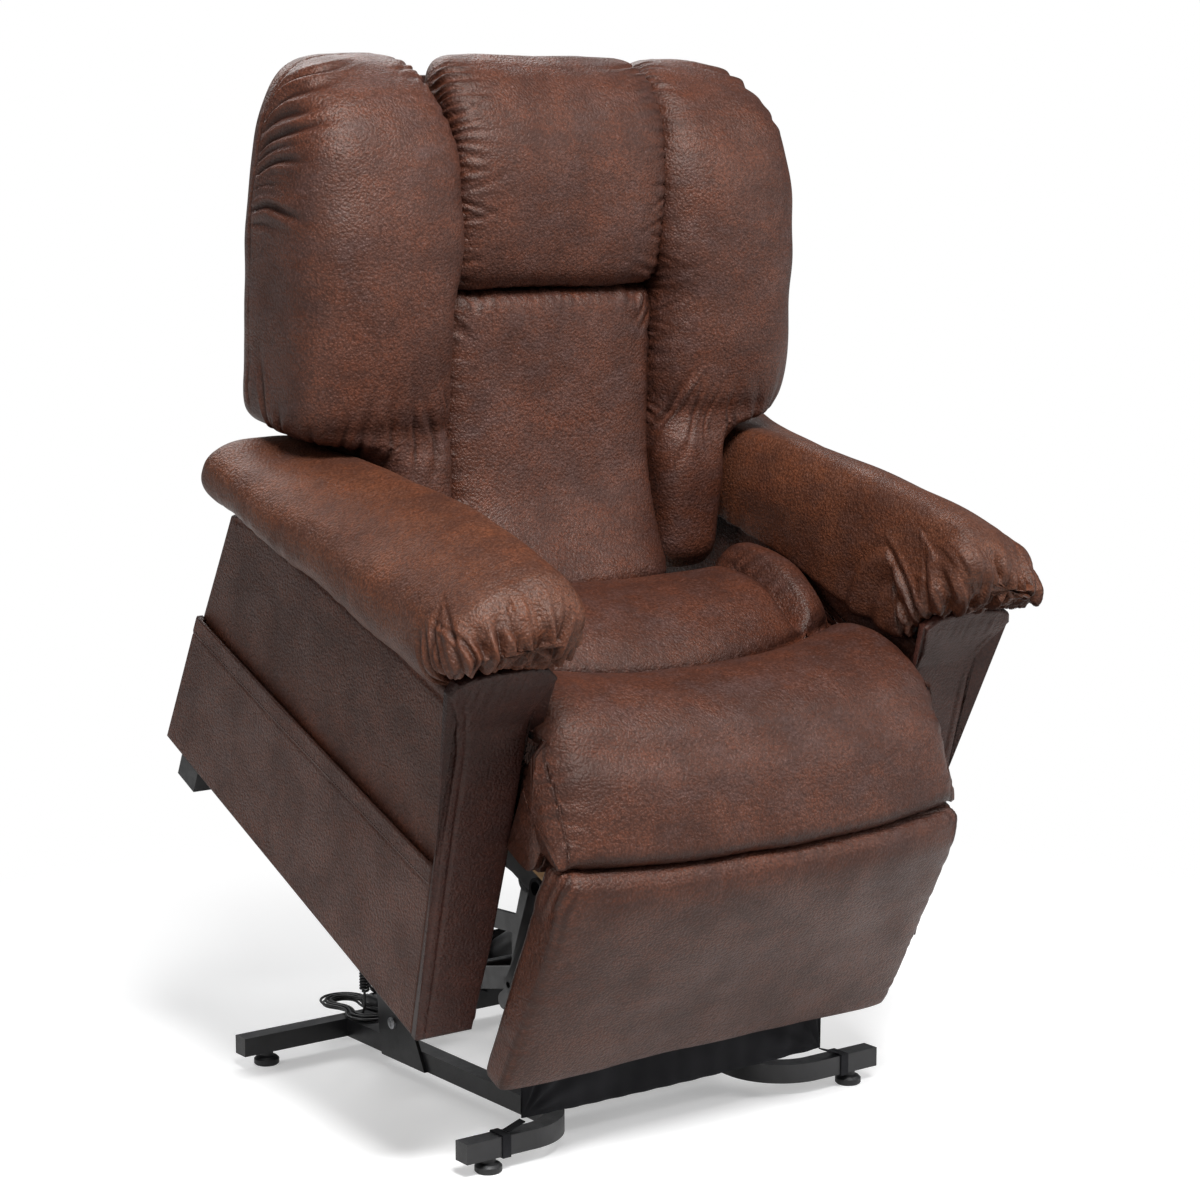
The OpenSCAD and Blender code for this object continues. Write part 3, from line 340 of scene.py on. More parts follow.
# %% The cord as one tube
def sweep(route, radii, sides, start):
    """Rings of points square to a route, carried along it without twist."""
    route = np.asarray(route, float)
    steps = np.diff(route, axis=0)
    steps /= np.linalg.norm(steps, axis=1)[:, None]
    tangents = np.vstack([steps[:1], steps[:-1] + steps[1:], steps[-1:]])
    tangents /= np.linalg.norm(tangents, axis=1)[:, None]
    normal = np.array(start, float)
    rings = []
    angle = np.linspace(0, 2 * np.pi, sides, endpoint=False)
    for p, t, r in zip(route, tangents, np.broadcast_to(radii, len(route))):
        normal = unit(normal - (normal @ t) * t)
        side = np.cross(t, normal)
        rings.append(p + r * (np.cos(angle)[:, None] * normal + np.sin(angle)[:, None] * side))
    return np.array(rings)


power_cord = shell("power_cord", sweep(cord_route, CORD_D / 2, 10, [0, 1, 0]), from_base)
relief_at = rounded(lead[:5], 6)
relief_r = np.interp(np.linspace(0, 1, len(relief_at)), [0, 1], [4.4, 2.3])
relief_r = relief_r + np.where(np.arange(len(relief_at)) % 4 < 2, 0.0, -0.5)
cord_relief = shell("cord_relief", sweep(relief_at[:18], relief_r[:18], 16, [0, 1, 0]), from_base)
print("cord faces", len(power_cord.data.polygons))

# %% [markdown]
# ## Finishes
# The cover is a worn, soft hide: a mid brown that turns rusty in specks, with patches of blue-grey
# painted sheen, specks of painted glint and a fine pebbled grain with painted shade between its pebbles.
# Two node groups make it: one mixes the colours, the other makes the height of the grain. Each material
# places them with its own values. The crest attribute that `shell` measured on the mesh rubs the ridges
# lighter and paints shade into the hollows.

# %% Helpers for materials
def add(tree, kind, **values):
    """A new node of a tree, with its settings."""
    node = tree.nodes.new(kind)
    for key, value in values.items():
        setattr(node, key, value)
    return node


def set_in(node, **values):
    for key, value in values.items():
        node.inputs[key.replace("_", " ")].default_value = value
    return node


def mix_colour(tree, factor, a, b):
    node = add(tree, "ShaderNodeMix", data_type="RGBA")
    for value, socket in ((factor, node.inputs[0]), (a, node.inputs[6]), (b, node.inputs[7])):
        if isinstance(value, (float, int, tuple)):
            socket.default_value = value
        else:
            tree.links.new(value, socket)
    return node.outputs[2]


def spread(tree, value, low, high, to_low=0.0, to_high=1.0, smooth=True):
    node = add(tree, "ShaderNodeMapRange", interpolation_type="SMOOTHSTEP" if smooth else "LINEAR")
    tree.links.new(value, node.inputs["Value"])
    for key, number in (("From Min", low), ("From Max", high), ("To Min", to_low), ("To Max", to_high)):
        if isinstance(number, (float, int)):
            node.inputs[key].default_value = number
        else:
            tree.links.new(number, node.inputs[key])
    return node.outputs["Result"]


def calc(tree, operation, a, b=0.0):
    node = add(tree, "ShaderNodeMath", operation=operation)
    for value, socket in ((a, node.inputs[0]), (b, node.inputs[1])):
        if isinstance(value, (float, int)):
            socket.default_value = value
        else:
            tree.links.new(value, socket)
    return node.outputs[0]


def noise(tree, coords, scale, detail=3.0, rough=0.55, stretch=None, distort=0.0):
    if stretch:
        mapping = add(tree, "ShaderNodeMapping")
        mapping.inputs["Scale"].default_value = stretch
        tree.links.new(coords, mapping.inputs["Vector"])
        coords = mapping.outputs[0]
    node = add(tree, "ShaderNodeTexNoise")
    set_in(node, Scale=scale, Detail=detail, Roughness=rough, Distortion=distort)
    tree.links.new(coords, node.inputs["Vector"])
    return node.outputs["Fac"]


def new_group(name, inputs, outputs):
    tree = bpy.data.node_groups.new(name, "ShaderNodeTree")
    for label, kind, value in inputs:
        socket = tree.interface.new_socket(label, in_out="INPUT", socket_type=kind)
        socket.default_value = value
    for label, kind in outputs:
        tree.interface.new_socket(label, in_out="OUTPUT", socket_type=kind)
    return tree, add(tree, "NodeGroupInput"), add(tree, "NodeGroupOutput")


COLOUR, FLOAT = "NodeSocketColor", "NodeSocketFloat"
PEBBLES = 330.0   # pebbles of the grain across a metre
print("material helpers ready")

# %% Worn hide: its colours
# Besides its real tones, rust and rubbed ridges, this group paints light: blue-grey painted sheen, pale painted
# glints, and painted shade between the pebbles and in the hollows.
hide_colour, inside, out = new_group(
    "worn_hide_colour_and_painted_light",
    [("Deep", COLOUR, (0.020, 0.010, 0.008, 1)), ("Mid", COLOUR, (0.075, 0.036, 0.026, 1)),
     ("Rust", COLOUR, (0.150, 0.058, 0.032, 1)), ("Bloom", COLOUR, (0.085, 0.070, 0.072, 1)),
     ("Fleck", COLOUR, (0.170, 0.150, 0.150, 1)),
     ("Rust amount", FLOAT, 0.5), ("Bloom amount", FLOAT, 0.5), ("Wear", FLOAT, 0.5)],
    [("Color", COLOUR), ("Gloss", FLOAT)])
tree, given = hide_colour, inside.outputs
where = add(tree, "ShaderNodeTexCoord").outputs["Object"]
patches = noise(tree, where, 4.5, 4, 0.6)
clouds = noise(tree, where, 13, 4, 0.62, distort=0.3)
flecks = noise(tree, where, 34, 6, 0.72, stretch=(0.7, 0.7, 1.5))
specks = noise(tree, where, 230, 4, 0.7)
crest = add(tree, "ShaderNodeAttribute", attribute_name="crest").outputs["Fac"]

# Slow clouds between the deep and the mid tone, with rusty flecks and patches of blue-grey painted sheen.
base = mix_colour(tree, spread(tree, clouds, 0.30, 0.70, 0.25, 1.0), given["Deep"], given["Mid"])
rust_at = calc(tree, "MULTIPLY", spread(tree, flecks, 0.42, 0.74), spread(tree, patches, 0.36, 0.62, 0.35, 1.0))
rusty = mix_colour(tree, calc(tree, "MULTIPLY", rust_at, given["Rust amount"]), base, given["Rust"])
sheen_at = calc(tree, "MULTIPLY", spread(tree, flecks, 0.58, 0.30), spread(tree, patches, 0.62, 0.38, 0.2, 1.0))
sheened = mix_colour(tree, calc(tree, "MULTIPLY", sheen_at, given["Bloom amount"]), rusty, given["Bloom"])

# The grain: painted shade between the pebbles, light specks of painted glint, and dark specks.
pebbles = add(tree, "ShaderNodeTexVoronoi", feature="F1")
tree.links.new(where, pebbles.inputs["Vector"])
set_in(pebbles, Scale=PEBBLES)
pebble_gap_shade = spread(tree, pebbles.outputs["Distance"], 0.30, 0.75, 0.0, 0.5)
grainy = mix_colour(tree, pebble_gap_shade, sheened, given["Deep"])
glint_at = calc(tree, "MULTIPLY", spread(tree, specks, 0.56, 0.80), given["Bloom amount"])
glinted = mix_colour(tree, glint_at, grainy, given["Fleck"])
dark_at = calc(tree, "MULTIPLY", spread(tree, specks, 0.52, 0.36), 0.6)
specked = mix_colour(tree, dark_at, glinted, given["Deep"])

# Ridges are rubbed lighter, and the hollows of the folds get painted shade from the deep tone.
rubbed_at = calc(tree, "MULTIPLY", spread(tree, crest, 0.10, 1.6), calc(tree, "MULTIPLY", given["Wear"], 0.5))
rubbed = mix_colour(tree, rubbed_at, specked, given["Rust"])
hollow_shade_at = spread(tree, crest, -0.05, -1.2, 0.0, 0.85)
tree.links.new(mix_colour(tree, hollow_shade_at, rubbed, given["Deep"]), out.inputs["Color"])
tree.links.new(spread(tree, clouds, 0.3, 0.7, 0.50, 0.38), out.inputs["Gloss"])
print("hide colour nodes", len(hide_colour.nodes))

# %% Worn hide: its grain
hide_grain, inside, out = new_group(
    "pebbled_grain", [("Pebble size", FLOAT, 300.0), ("Creases", FLOAT, 0.5)], [("Height", FLOAT)])
tree, given = hide_grain, inside.outputs
where = add(tree, "ShaderNodeTexCoord").outputs["Object"]
pebbles = add(tree, "ShaderNodeTexVoronoi", feature="SMOOTH_F1")
tree.links.new(where, pebbles.inputs["Vector"])
tree.links.new(given["Pebble size"], pebbles.inputs["Scale"])
fine = noise(tree, where, 620, 3, 0.6)
creases = noise(tree, where, 26, 5, 0.6, stretch=(0.6, 0.6, 2.0))
rounded_pebbles = calc(tree, "MULTIPLY", pebbles.outputs["Distance"], -0.8)
height = calc(tree, "ADD", rounded_pebbles, calc(tree, "MULTIPLY", fine, 0.5))
crease_height = calc(tree, "MULTIPLY", creases, given["Creases"])
tree.links.new(calc(tree, "ADD", height, crease_height), out.inputs["Height"])
print("grain nodes", len(hide_grain.nodes))


# %% Materials of the covers
def material(name, slot_name, colour=(0.5, 0.5, 0.5, 1), rough=0.5, metal=0.0, spec=0.5):
    made = bpy.data.materials.new(name)
    made.use_nodes = True
    made.diffuse_color = colour
    bsdf = made.node_tree.nodes["Principled BSDF"]
    set_in(bsdf, Base_Color=colour, Roughness=rough, Metallic=metal)
    bsdf.inputs["Specular IOR Level"].default_value = spec
    made["slot"] = slot_name
    return made, made.node_tree, bsdf


def put_group(tree, group, **values):
    node = add(tree, "ShaderNodeGroup", node_tree=group)
    return set_in(node, **values)


def bump(tree, bsdf, height, distance, strength=1.0):
    node = add(tree, "ShaderNodeBump")
    node.inputs["Distance"].default_value = distance
    node.inputs["Strength"].default_value = strength
    tree.links.new(height, node.inputs["Height"])
    tree.links.new(node.outputs[0], bsdf.inputs["Normal"])


def hide(name, slot_name, deep, mid, rust, sheen_tone, rust_amount, sheen_amount, wear, creases=0.22):
    made, tree, bsdf = material(name, slot_name, mid, spec=0.34)
    bsdf.inputs["Specular Tint"].default_value = (0.97, 0.88, 0.82, 1)
    # The light specks are painted glints, a paler blue-grey than the painted sheen.
    glint_tone = tuple(2.0 * v + 0.02 for v in sheen_tone[:3]) + (1.0,)
    colours = put_group(tree, hide_colour, Deep=deep, Mid=mid, Rust=rust, Bloom=sheen_tone, Fleck=glint_tone,
                        Rust_amount=rust_amount, Bloom_amount=sheen_amount, Wear=wear)
    grain = put_group(tree, hide_grain, Pebble_size=PEBBLES, Creases=creases)
    tree.links.new(colours.outputs["Color"], bsdf.inputs["Base Color"])
    tree.links.new(colours.outputs["Gloss"], bsdf.inputs["Roughness"])
    bump(tree, bsdf, grain.outputs["Height"], 0.0014, 1.0)
    return made


# The fourth colour of each hide is its blue-grey painted sheen, and the second amount sets how much painted sheen
# and painted glint it gets.
brown_hide = hide("brown_hide", "brown_cover", (0.028, 0.0085, 0.005, 1), (0.102, 0.035, 0.020, 1),
                  (0.145, 0.040, 0.018, 1), (0.085, 0.048, 0.044, 1), 0.55, 0.60, 0.4)
rubbed_hide = hide("rubbed_hide", "brown_cover", (0.036, 0.011, 0.006, 1), (0.128, 0.045, 0.022, 1),
                   (0.175, 0.052, 0.022, 1), (0.098, 0.054, 0.046, 1), 0.60, 0.50, 0.5)
dark_hide = hide("dark_hide", "dark_cover", (0.018, 0.006, 0.005, 1), (0.060, 0.021, 0.015, 1),
                 (0.085, 0.024, 0.015, 1), (0.046, 0.026, 0.025, 1), 0.45, 0.40, 0.4)
print("hides ready")

# %% [markdown]
# ## Padded covers, one recipe
# A stuffed cover is a loft: a few stations say how wide and deep it is at each height, smooth curves
# run through them, and every ring is a rounded box. Gathers are then pressed in along the seams where
# the real cover is drawn up on its thread, and a little slow noise keeps it from looking machined.

# %% A loft from stations
def box_rings(stations, rows, around, power):
    """Stations [height, x0, x1, front, rear] in mm as rings of a rounded box, rows high."""
    s = smooth_rows(stations, rows)
    angle = np.linspace(0, 2 * np.pi, around, endpoint=False)
    c, d = np.cos(angle), np.sin(angle)
    cx, dn = superpower(c, power), superpower(d, power)
    half_x, half_n = (s[:, 2] - s[:, 1]) / 2, (s[:, 4] - s[:, 3]) / 2
    x = (s[:, 1] + s[:, 2])[:, None] / 2 + half_x[:, None] * cx
    n = (s[:, 3] + s[:, 4])[:, None] / 2 + half_n[:, None] * dn
    return np.stack([x, n, np.repeat(s[:, :1], around, 1)], -1)


def even_rings(p):
    """Spaces the points of each ring evenly along it, so that fine folds are drawn alike all round."""
    out = np.empty_like(p)
    for i, ring in enumerate(p):
        closed = np.vstack([ring, ring[:1]])
        run = np.r_[0, np.cumsum(np.linalg.norm(np.diff(closed, axis=0), axis=1))]
        at = np.linspace(0, run[-1], len(ring), endpoint=False)
        out[i] = np.stack([np.interp(at, run, closed[:, k]) for k in range(3)], 1)
    return out


def out_normals(p):
    """Ring normals that point away from the middle of the loft."""
    n = grid_normals(p)
    away = p - p.mean((0, 1))
    return n if np.einsum("ijk,ijk->", n, away) > 0 else -n


def cover(name, p, body, made, place, stands_for):
    """A finished padded piece: mesh, finish, slot, body and the solid that it stands for."""
    obj = shell(name, p, place)
    obj.data.materials.append(made)
    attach(obj, body)
    if stands_for:
        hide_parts(*stands_for)
    size = [round(v * 1000) for v in obj.dimensions]
    print(name, len(obj.data.polygons), "faces", size, "mm")
    return obj


def mirrored(p):
    """The same grid on the other side of the chair."""
    return p * [-1, 1, 1]


# %% [markdown]
# ## Side wings of the back
# Two tall cushions flank the pillows. The cover is eased onto the round top corner, so it bunches in
# deep folds that fan out from the rear seam, and along the inner edge it is drawn up in fine gathers.

# %% Wings
# Stations: [height, inner side, outer side, front, rear]
wing_stations = [
    [104, 192, 244, -110, -54], [107, 182, 254, -130, -42], [114, 173, 263, -144, -32],
    [140, 166, 269, -160, -20], [210, 165, 272, -165, -17], [270, 165, 276, -162, -17],
    [292, 165, 302, -158, -16], [306, 165, 352, -157, 2], [320, 165, 373, -158, 34],
    [350, 165, 381, -166, 46], [430, 165, 384, -173, 47], [520, 165, 384, -173, 47],
    [600, 165, 381, -165, 47], [670, 166, 371, -146, 47], [715, 168, 356, -116, 46],
    [742, 176, 338, -84, 42], [758, 188, 316, -56, 34], [766, 204, 290, -34, 22], [769, 222, 264, -20, 6],
]


# Deep and fine folds of the top corner, as (mm round from the side seam, height)
corner_folds = [
    [[0, 618], [52, 642], [121, 647]], [[0, 642], [29, 665], [94, 685], [163, 702]],
    [[0, 668], [40, 694], [110, 707]], [[0, 680], [33, 716], [73, 730], [120, 743]],
    [[0, 706], [20, 733], [60, 750], [100, 757]], [[0, 576], [40, 587], [88, 582], [133, 575]],
]
fine_folds = [
    [[0, 630], [30, 650], [70, 662]], [[0, 655], [34, 680], [80, 694]], [[0, 694], [26, 722], [62, 740]],
    [[0, 560], [36, 564], [76, 560]], [[0, 600], [34, 612], [90, 616]], [[0, 722], [22, 742], [50, 754]],
]


def wing_form(seed):
    """The right wing: a loft, a fuller inner front, corner folds and the gathers along its seams."""
    rows = smooth_rows(wing_stations, 280)
    angle = np.linspace(0, 2 * np.pi, 300, endpoint=False)
    c, d = np.cos(angle), np.sin(angle)
    power = np.where((c > 0) & (d > 0), 5.0, np.where((c < 0) & (d < 0), 3.8, 3.0))
    half_x, half_n = (rows[:, 2:3] - rows[:, 1:2]) / 2, (rows[:, 4:5] - rows[:, 3:4]) / 2
    x = (rows[:, 1:2] + rows[:, 2:3]) / 2 + half_x * superpower(c, power)
    n_at = (rows[:, 3:4] + rows[:, 4:5]) / 2 + half_n * superpower(d, power)
    p = even_rings(np.stack([x, n_at, np.repeat(rows[:, :1], len(angle), 1)], -1))
    n = out_normals(p)
    slow = waves(p, 170, seed) * 2.4 + waves(p, 80, seed + 1) * 1.0
    swell = np.clip((p[..., 2] - 470) / 70, 0, 1) * np.clip((730 - p[..., 2]) / 90, 0, 1)
    p[..., 0] -= 15 * swell * np.clip((-70 - p[..., 1]) / 50, 0, 1) * np.clip((240 - p[..., 0]) / 70, 0, 1)
    p = p + n * slow[..., None]
    seam = [[380, 2, 322], [384, 2, 430], [384, 2, 520], [381, 2, 600], [371, 2, 668], [356, 1, 712],
            [336, -1, 742], [300, -6, 764], [262, -10, 769]]
    side_x = np.interp(p[..., 2], [600, 668, 712, 742, 764], [384, 373, 358, 338, 302])
    view = (2 - p[..., 1]) + np.maximum(0, side_x - p[..., 0]), p[..., 2]
    ahead = np.clip((4 - p[..., 1]) / 10, 0, 1)
    p = press_lines(p, n, view, corner_folds, 5.5, 4.6, ahead)
    p = press_lines(p, n, view, fine_folds, 1.8, 2.8, ahead)
    inner = [[166, -70, 300], [165, -96, 420], [165, -92, 560], [166, -80, 660], [170, -56, 735],
             [190, -20, 766]]
    p = folds(p, n, inner, 38, 1.8, 42, seed + 3, width=4.5)
    foot = [[168, -130, 330], [185, -158, 312], [240, -160, 300], [310, -140, 304], [360, -90, 312],
            [378, -20, 318]]
    p = folds(p, n, foot, 9, 4.2, 58, seed + 4, width=8)
    return folds(p, n, seam, 26, 0.4, 14, seed + 5, width=5, groove=2.6, groove_w=2.6)


for side, name in ((-1, "left"), (1, "right")):
    form = wing_form(11 if side < 0 else 29)
    cover(f"wing_cover_{name}", mirrored(form) if side < 0 else form, "back", brown_hide,
          from_back, [f"wing_{name}"])

# %% [markdown]
# ## Head and lumbar pillows
# The head pillow rolls over the top of the back and overhangs the lumbar pillow. Both are sewn in
# between the wings, so their fronts crown and their sides dive into the seams, with gathers there.

# %% Pillows
def pillow_stations(rows, half):
    """Rows [height, share of the half width, front, rear] as stations of a loft."""
    return [[v, -half * w, half * w, front, rear] for v, w, front, rear in rows]


head = even_rings(box_rings(pillow_stations([
    [483, 0.80, -96, -34], [485, 0.92, -112, -26], [490, 0.97, -127, -20], [515, 0.995, -143, -16],
    [580, 0.998, -151, -16], [650, 0.998, -148, -16], [705, 0.985, -131, -16], [742, 0.96, -104, -17],
    [760, 0.90, -78, -22], [768, 0.80, -60, -32], [771, 0.60, -52, -38],
], 164), 170, 330, 4.6))
normals = out_normals(head)
head = head + normals * (waves(head, 150, 41) * 1.8 + waves(head, 60, 42) * 0.6)[..., None]
for side, seed in ((-1, 43), (1, 44)):
    edge = [[side * 150, -96, 487], [side * 160, -112, 540], [side * 160, -116, 620], [side * 156, -100, 700],
            [side * 140, -64, 762]]
    head = folds(head, normals, edge, 30, 2.2, 40, seed, width=4.2)
head = folds(head, normals, [[-160, -100, 487], [0, -112, 485], [160, -100, 487]], 12, 1.2, 26, 45, width=7)
cover("head_pillow_cover", head, "back", brown_hide, from_back, ["head_pillow"])

lumbar = even_rings(box_rings(pillow_stations([
    [99, 0.80, -180, -120], [101, 0.90, -194, -100], [106, 0.955, -206, -60], [124, 0.99, -211, -20],
    [170, 0.995, -181, -16], [230, 0.997, -154, -16], [300, 0.998, -140, -16], [380, 0.998, -134, -16],
    [450, 0.996, -131, -16], [472, 0.985, -124, -18], [480, 0.94, -110, -24], [482, 0.84, -96, -32],
], 164), 190, 260, 3.6))
normals = out_normals(lumbar)
lumbar = lumbar + normals * (waves(lumbar, 170, 51) * 1.6 + waves(lumbar, 70, 52) * 0.5)[..., None]
lumbar = folds(lumbar, normals, [[-158, -100, 478], [0, -112, 481], [158, -100, 478]], 18, 1.2, 34, 53, width=6)
for side, seed in ((-1, 54), (1, 55)):
    edge = [[side * 158, -190, 110], [side * 160, -120, 240], [side * 160, -108, 380], [side * 158, -104, 470]]
    lumbar = folds(lumbar, normals, edge, 18, 0.8, 26, seed, width=6)
    corner = [[side * 164, -90, 440], [side * 158, -108, 474], [side * 130, -112, 480]]
    lumbar = folds(lumbar, normals, corner, 5, 3.0, 56, seed + 2, width=6, fan=0.3)
cover("lumbar_cover", lumbar, "back", brown_hide, from_back, ["lumbar_pillow"])

# %% [markdown]
# ## Seat cushion
# One cover: a domed pad between two side bolsters, a curved channel in front of them, and a deep roll
# that hangs over the top of the footrest. It is lofted across the chair, and every slice is a closed
# smooth curve through the same few landmarks.

# %% Seat
SEAT_HALF, BETWEEN_ARMS, SEAT_LOW, LIP_LOW = 306, 296, 214.8, 252.2


def closed_curve(points, count):
    """A smooth closed curve through points, evenly spaced."""
    q = np.vstack([points[-2:], points, points[:3]])
    curve = []
    for i in range(1, len(points) + 1):
        p0, p1, p2, p3 = q[i], q[i + 1], q[i + 2], q[(i + 3) % len(q)]
        for k in range(16):
            t = k / 16
            curve.append(0.5 * (2 * p1 + (p2 - p0) * t + (2 * p0 - 5 * p1 + 4 * p2 - p3) * t * t
                                + (3 * p1 - p0 - 3 * p2 + p3) * t ** 3))
    curve = np.array(curve + curve[:1])
    run = np.r_[0, np.cumsum(np.linalg.norm(np.diff(curve, axis=0), axis=1))]
    at = np.linspace(0, run[-1], count, endpoint=False)
    return np.stack([np.interp(at, run, curve[:, k]) for k in range(curve.shape[1])], 1)


inner_pad = [[1, 350], [0.8, 369], [0.5, 379], [0.25, 372], [0.08, 357]]
front_roll = [[0.93, 362], [0.8, 380], [0.6, 393], [0.4, 394], [0.2, 384], [0.05, 362]]
front_face = [[46, 345], [24, 319], [5, 290], [-5, 270], [1, 254.5]]


def channel_at(x):
    """How far back the curved channel across the seat lies."""
    return 182 + 76 * min(1, abs(x) / SEAT_HALF) ** 2.2


def seat_slice(x):
    """The outline [y, z] of the seat cushion at one place across the chair."""
    a = abs(x)
    share = min(1, a / SEAT_HALF)
    c, lip = channel_at(x), -26 - 38 * (1 - share ** 3)
    drop = 44 * (max(0, a - 250) / 55) ** 3
    groove = 26 * math.exp(-((a - 222) / 15) ** 2)
    rear = 398 + 34 * min(1, max(0, a - 222) / 10)
    slice_ = [[lip + 8, LIP_LOW], [6, LIP_LOW], [10, SEAT_LOW + 12], [24, SEAT_LOW], [140, SEAT_LOW]]
    slice_ += [[270, SEAT_LOW], [rear - 14, SEAT_LOW], [rear - 1, SEAT_LOW + 14], [rear, 310 - drop]]
    rise = 8 * min(1, max(0, (a - 226) / 16))
    slice_ += [[c + (rear - 4 - c) * s, z + rise - drop - groove * min(1, 4 * s)] for s, z in inner_pad]
    slice_ += [[c, 343 - drop]]
    slice_ += [[lip + 60 + (c - lip - 60) * s, z - drop] for s, z in front_roll]
    slice_ += [[lip + y, max(z - (drop if z > 300 else drop / 2), LIP_LOW + 0.5)] for y, z in front_face]
    slice_ = np.array(slice_)
    if a > BETWEEN_ARMS:
        slice_[:, 0] = np.where(slice_[:, 0] > 60, 60 + (slice_[:, 0] - 60) * 0.015, slice_[:, 0])
    return slice_


columns = np.sin(np.linspace(-np.pi / 2, np.pi / 2, 260)) * SEAT_HALF
seat = np.stack([np.c_[np.full(320, x), closed_curve(seat_slice(x), 320)] for x in columns])
normals = out_normals(seat)
seat = seat + normals * (waves(seat, 190, 61) * 2.0 + waves(seat, 75, 62) * 0.7)[..., None]
channel = [[x, channel_at(x), 340] for x in range(-285, 286, 30)]
seat = folds(seat, normals, channel, 26, 0.7, 26, 63, width=7, groove=8.0, groove_w=6)
for side, seed in ((-1, 64), (1, 65)):
    edge = [[side * 304, -20, 262], [side * 302, 20, 320], [side * 298, 70, 352], [side * 296, 150, 352]]
    seat = folds(seat, normals, edge, 9, 1.4, 56, seed, width=8)
    bolster = [[side * 222, y, 345] for y in (250, 290, 330, 370, 394)]
    seat = folds(seat, normals, bolster, 7, 1.0, 34, seed + 2, width=7, groove=4.0, groove_w=6)
lip = [[x, -26 - 38 * (1 - abs(x / SEAT_HALF) ** 3), 256] for x in range(-300, 301, 40)]
seat = folds(seat, normals, lip, 20, 0.7, 24, 69, width=8)
cover("seat_cover", seat, "carriage", brown_hide, from_chair, ["seat_cushion"])

# %% [markdown]
# ## Arm rolls
# The tops of the arms are fat rolls. Their cover is eased round the front end and drawn up hard on the
# seam of the front panel, which makes the strong upright gathers.

# %% Arm rolls
PAD_X = 363   # middle of an arm roll
# Stations: [from the front, half width, underside, top, slope across, belly of the underside]
pad_stations = [
    [48, 36, 503, 512, 0.30, 0], [50, 52, 494, 520, 0.33, 6], [55, 68, 479, 529, 0.36, 13],
    [63, 78, 464, 537, 0.38, 18], [74, 82, 447, 546, 0.38, 23], [86, 84, 436, 554, 0.36, 25],
    [100, 84, 434, 560, 0.34, 25], [113, 84, 420, 561, 0.34, 14], [130, 84, 409, 561, 0.33, 0],
    [172, 84, 402, 557, 0.35, 0], [230, 84, 396, 545, 0.40, 0], [300, 84, 391, 530, 0.42, 0],
    [367, 84, 387, 516, 0.38, 0], [430, 84, 381, 499, 0.33, 0], [540, 84, 372, 468, 0.20, 0],
    [600, 84, 361, 453, 0.08, 0], [632, 84, 356, 449, 0.03, 0], [652, 81, 357, 444, 0, 0],
    [665, 72, 363, 434, 0, 0], [673, 56, 374, 420, 0, 0], [676, 36, 388, 406, 0, 0],
]


def gathers(count, reach, seed):
    """Lines from the front seam up over the nose of a roll, as (across, height above its tip)."""
    rng = np.random.default_rng(seed)
    lines = []
    for k in range(count):
        x = PAD_X - 76 + 152 * (k + 0.5) / count + rng.uniform(-2.5, 2.5)
        start = -34 - 26 * abs((x - PAD_X) / 76) ** 3
        long, bend = reach * rng.uniform(0.6, 1.15), rng.uniform(-5, 5)
        lean = 0.10 * (x - PAD_X) + rng.uniform(-6, 6)
        lines.append([[x, start], [x + bend, start + 0.45 * long], [x + lean, start + long]])
    return lines


def arm_form(seed):
    """The right arm roll: a sloping loft whose inner lip hangs down, gathered round its front end."""
    s = smooth_rows(pad_stations, 330)
    angle = np.linspace(0, 2 * np.pi, 280, endpoint=False)
    up, outward_x = superpower(np.cos(angle), 2.6), superpower(np.sin(angle), 2.6)
    x = s[:, 1:2] * outward_x
    z = (s[:, 2:3] + s[:, 3:4]) / 2 + (s[:, 3:4] - s[:, 2:3]) / 2 * up - s[:, 4:5] * x * (up + 1) / 2
    z = z + s[:, 5:6] * (1 - np.abs(outward_x) ** 3) * np.maximum(0, -up)
    inner_lip = np.clip((-x - 58) / 22, 0, 1) * np.clip((1 - up) / 1.6, 0, 1)
    inner_lip = inner_lip * np.clip((s[:, :1] - 82) / 26, 0, 1)
    hang = np.interp(s[:, :1], [82, 108, 140, 560, 660], [20, 52, 66, 58, 20])
    p = even_rings(np.stack([PAD_X + x, np.repeat(s[:, :1], len(angle), 1), z - hang * inner_lip], -1))
    n = out_normals(p)
    p = p + n * (waves(p, 180, seed) * 2.2 + waves(p, 75, seed + 1) * 0.9)[..., None]
    front = [[448, 128, 424], [445, 100, 436], [438, 78, 448], [421, 66, 462], [398, 61, 474], [363, 60, 478],
             [328, 61, 474], [306, 66, 462], [290, 78, 448], [281, 100, 432], [279, 128, 410]]
    p = folds(p, n, front, 17, 7.5, 72, seed + 2, width=7, fan=0.18, groove=2, groove_w=9)
    unrolled = p[..., 2] - 507 + np.maximum(0, p[..., 1] - 48) * np.clip((p[..., 2] - 492) / 25, 0, 1)
    nose = np.clip((150 - p[..., 1]) / 50, 0, 1)
    p = press_lines(p, n, (p[..., 0], unrolled), gathers(13, 95, seed), 6.5, 3.6, nose)
    p = press_lines(p, n, (p[..., 0], unrolled), gathers(16, 50, seed + 8), 2.2, 2.4, nose)
    ledge = [[446, 190, 402], [447, 330, 394], [446, 450, 386], [444, 560, 376], [436, 625, 364]]
    p = folds(p, n, ledge, 9, 0.9, 40, seed + 3, width=12)
    inside_edge = [[281, 170, 350], [280, 300, 340], [280, 430, 330], [281, 560, 320]]
    return folds(p, n, inside_edge, 9, 2.0, 60, seed + 6, width=11)


for side, name in ((-1, "left"), (1, "right")):
    form = arm_form(71 if side < 0 else 83)
    cover(f"arm_roll_{name}", mirrored(form) if side < 0 else form, "carriage", rubbed_hide,
          from_chair, [f"arm_pad_{name}"])

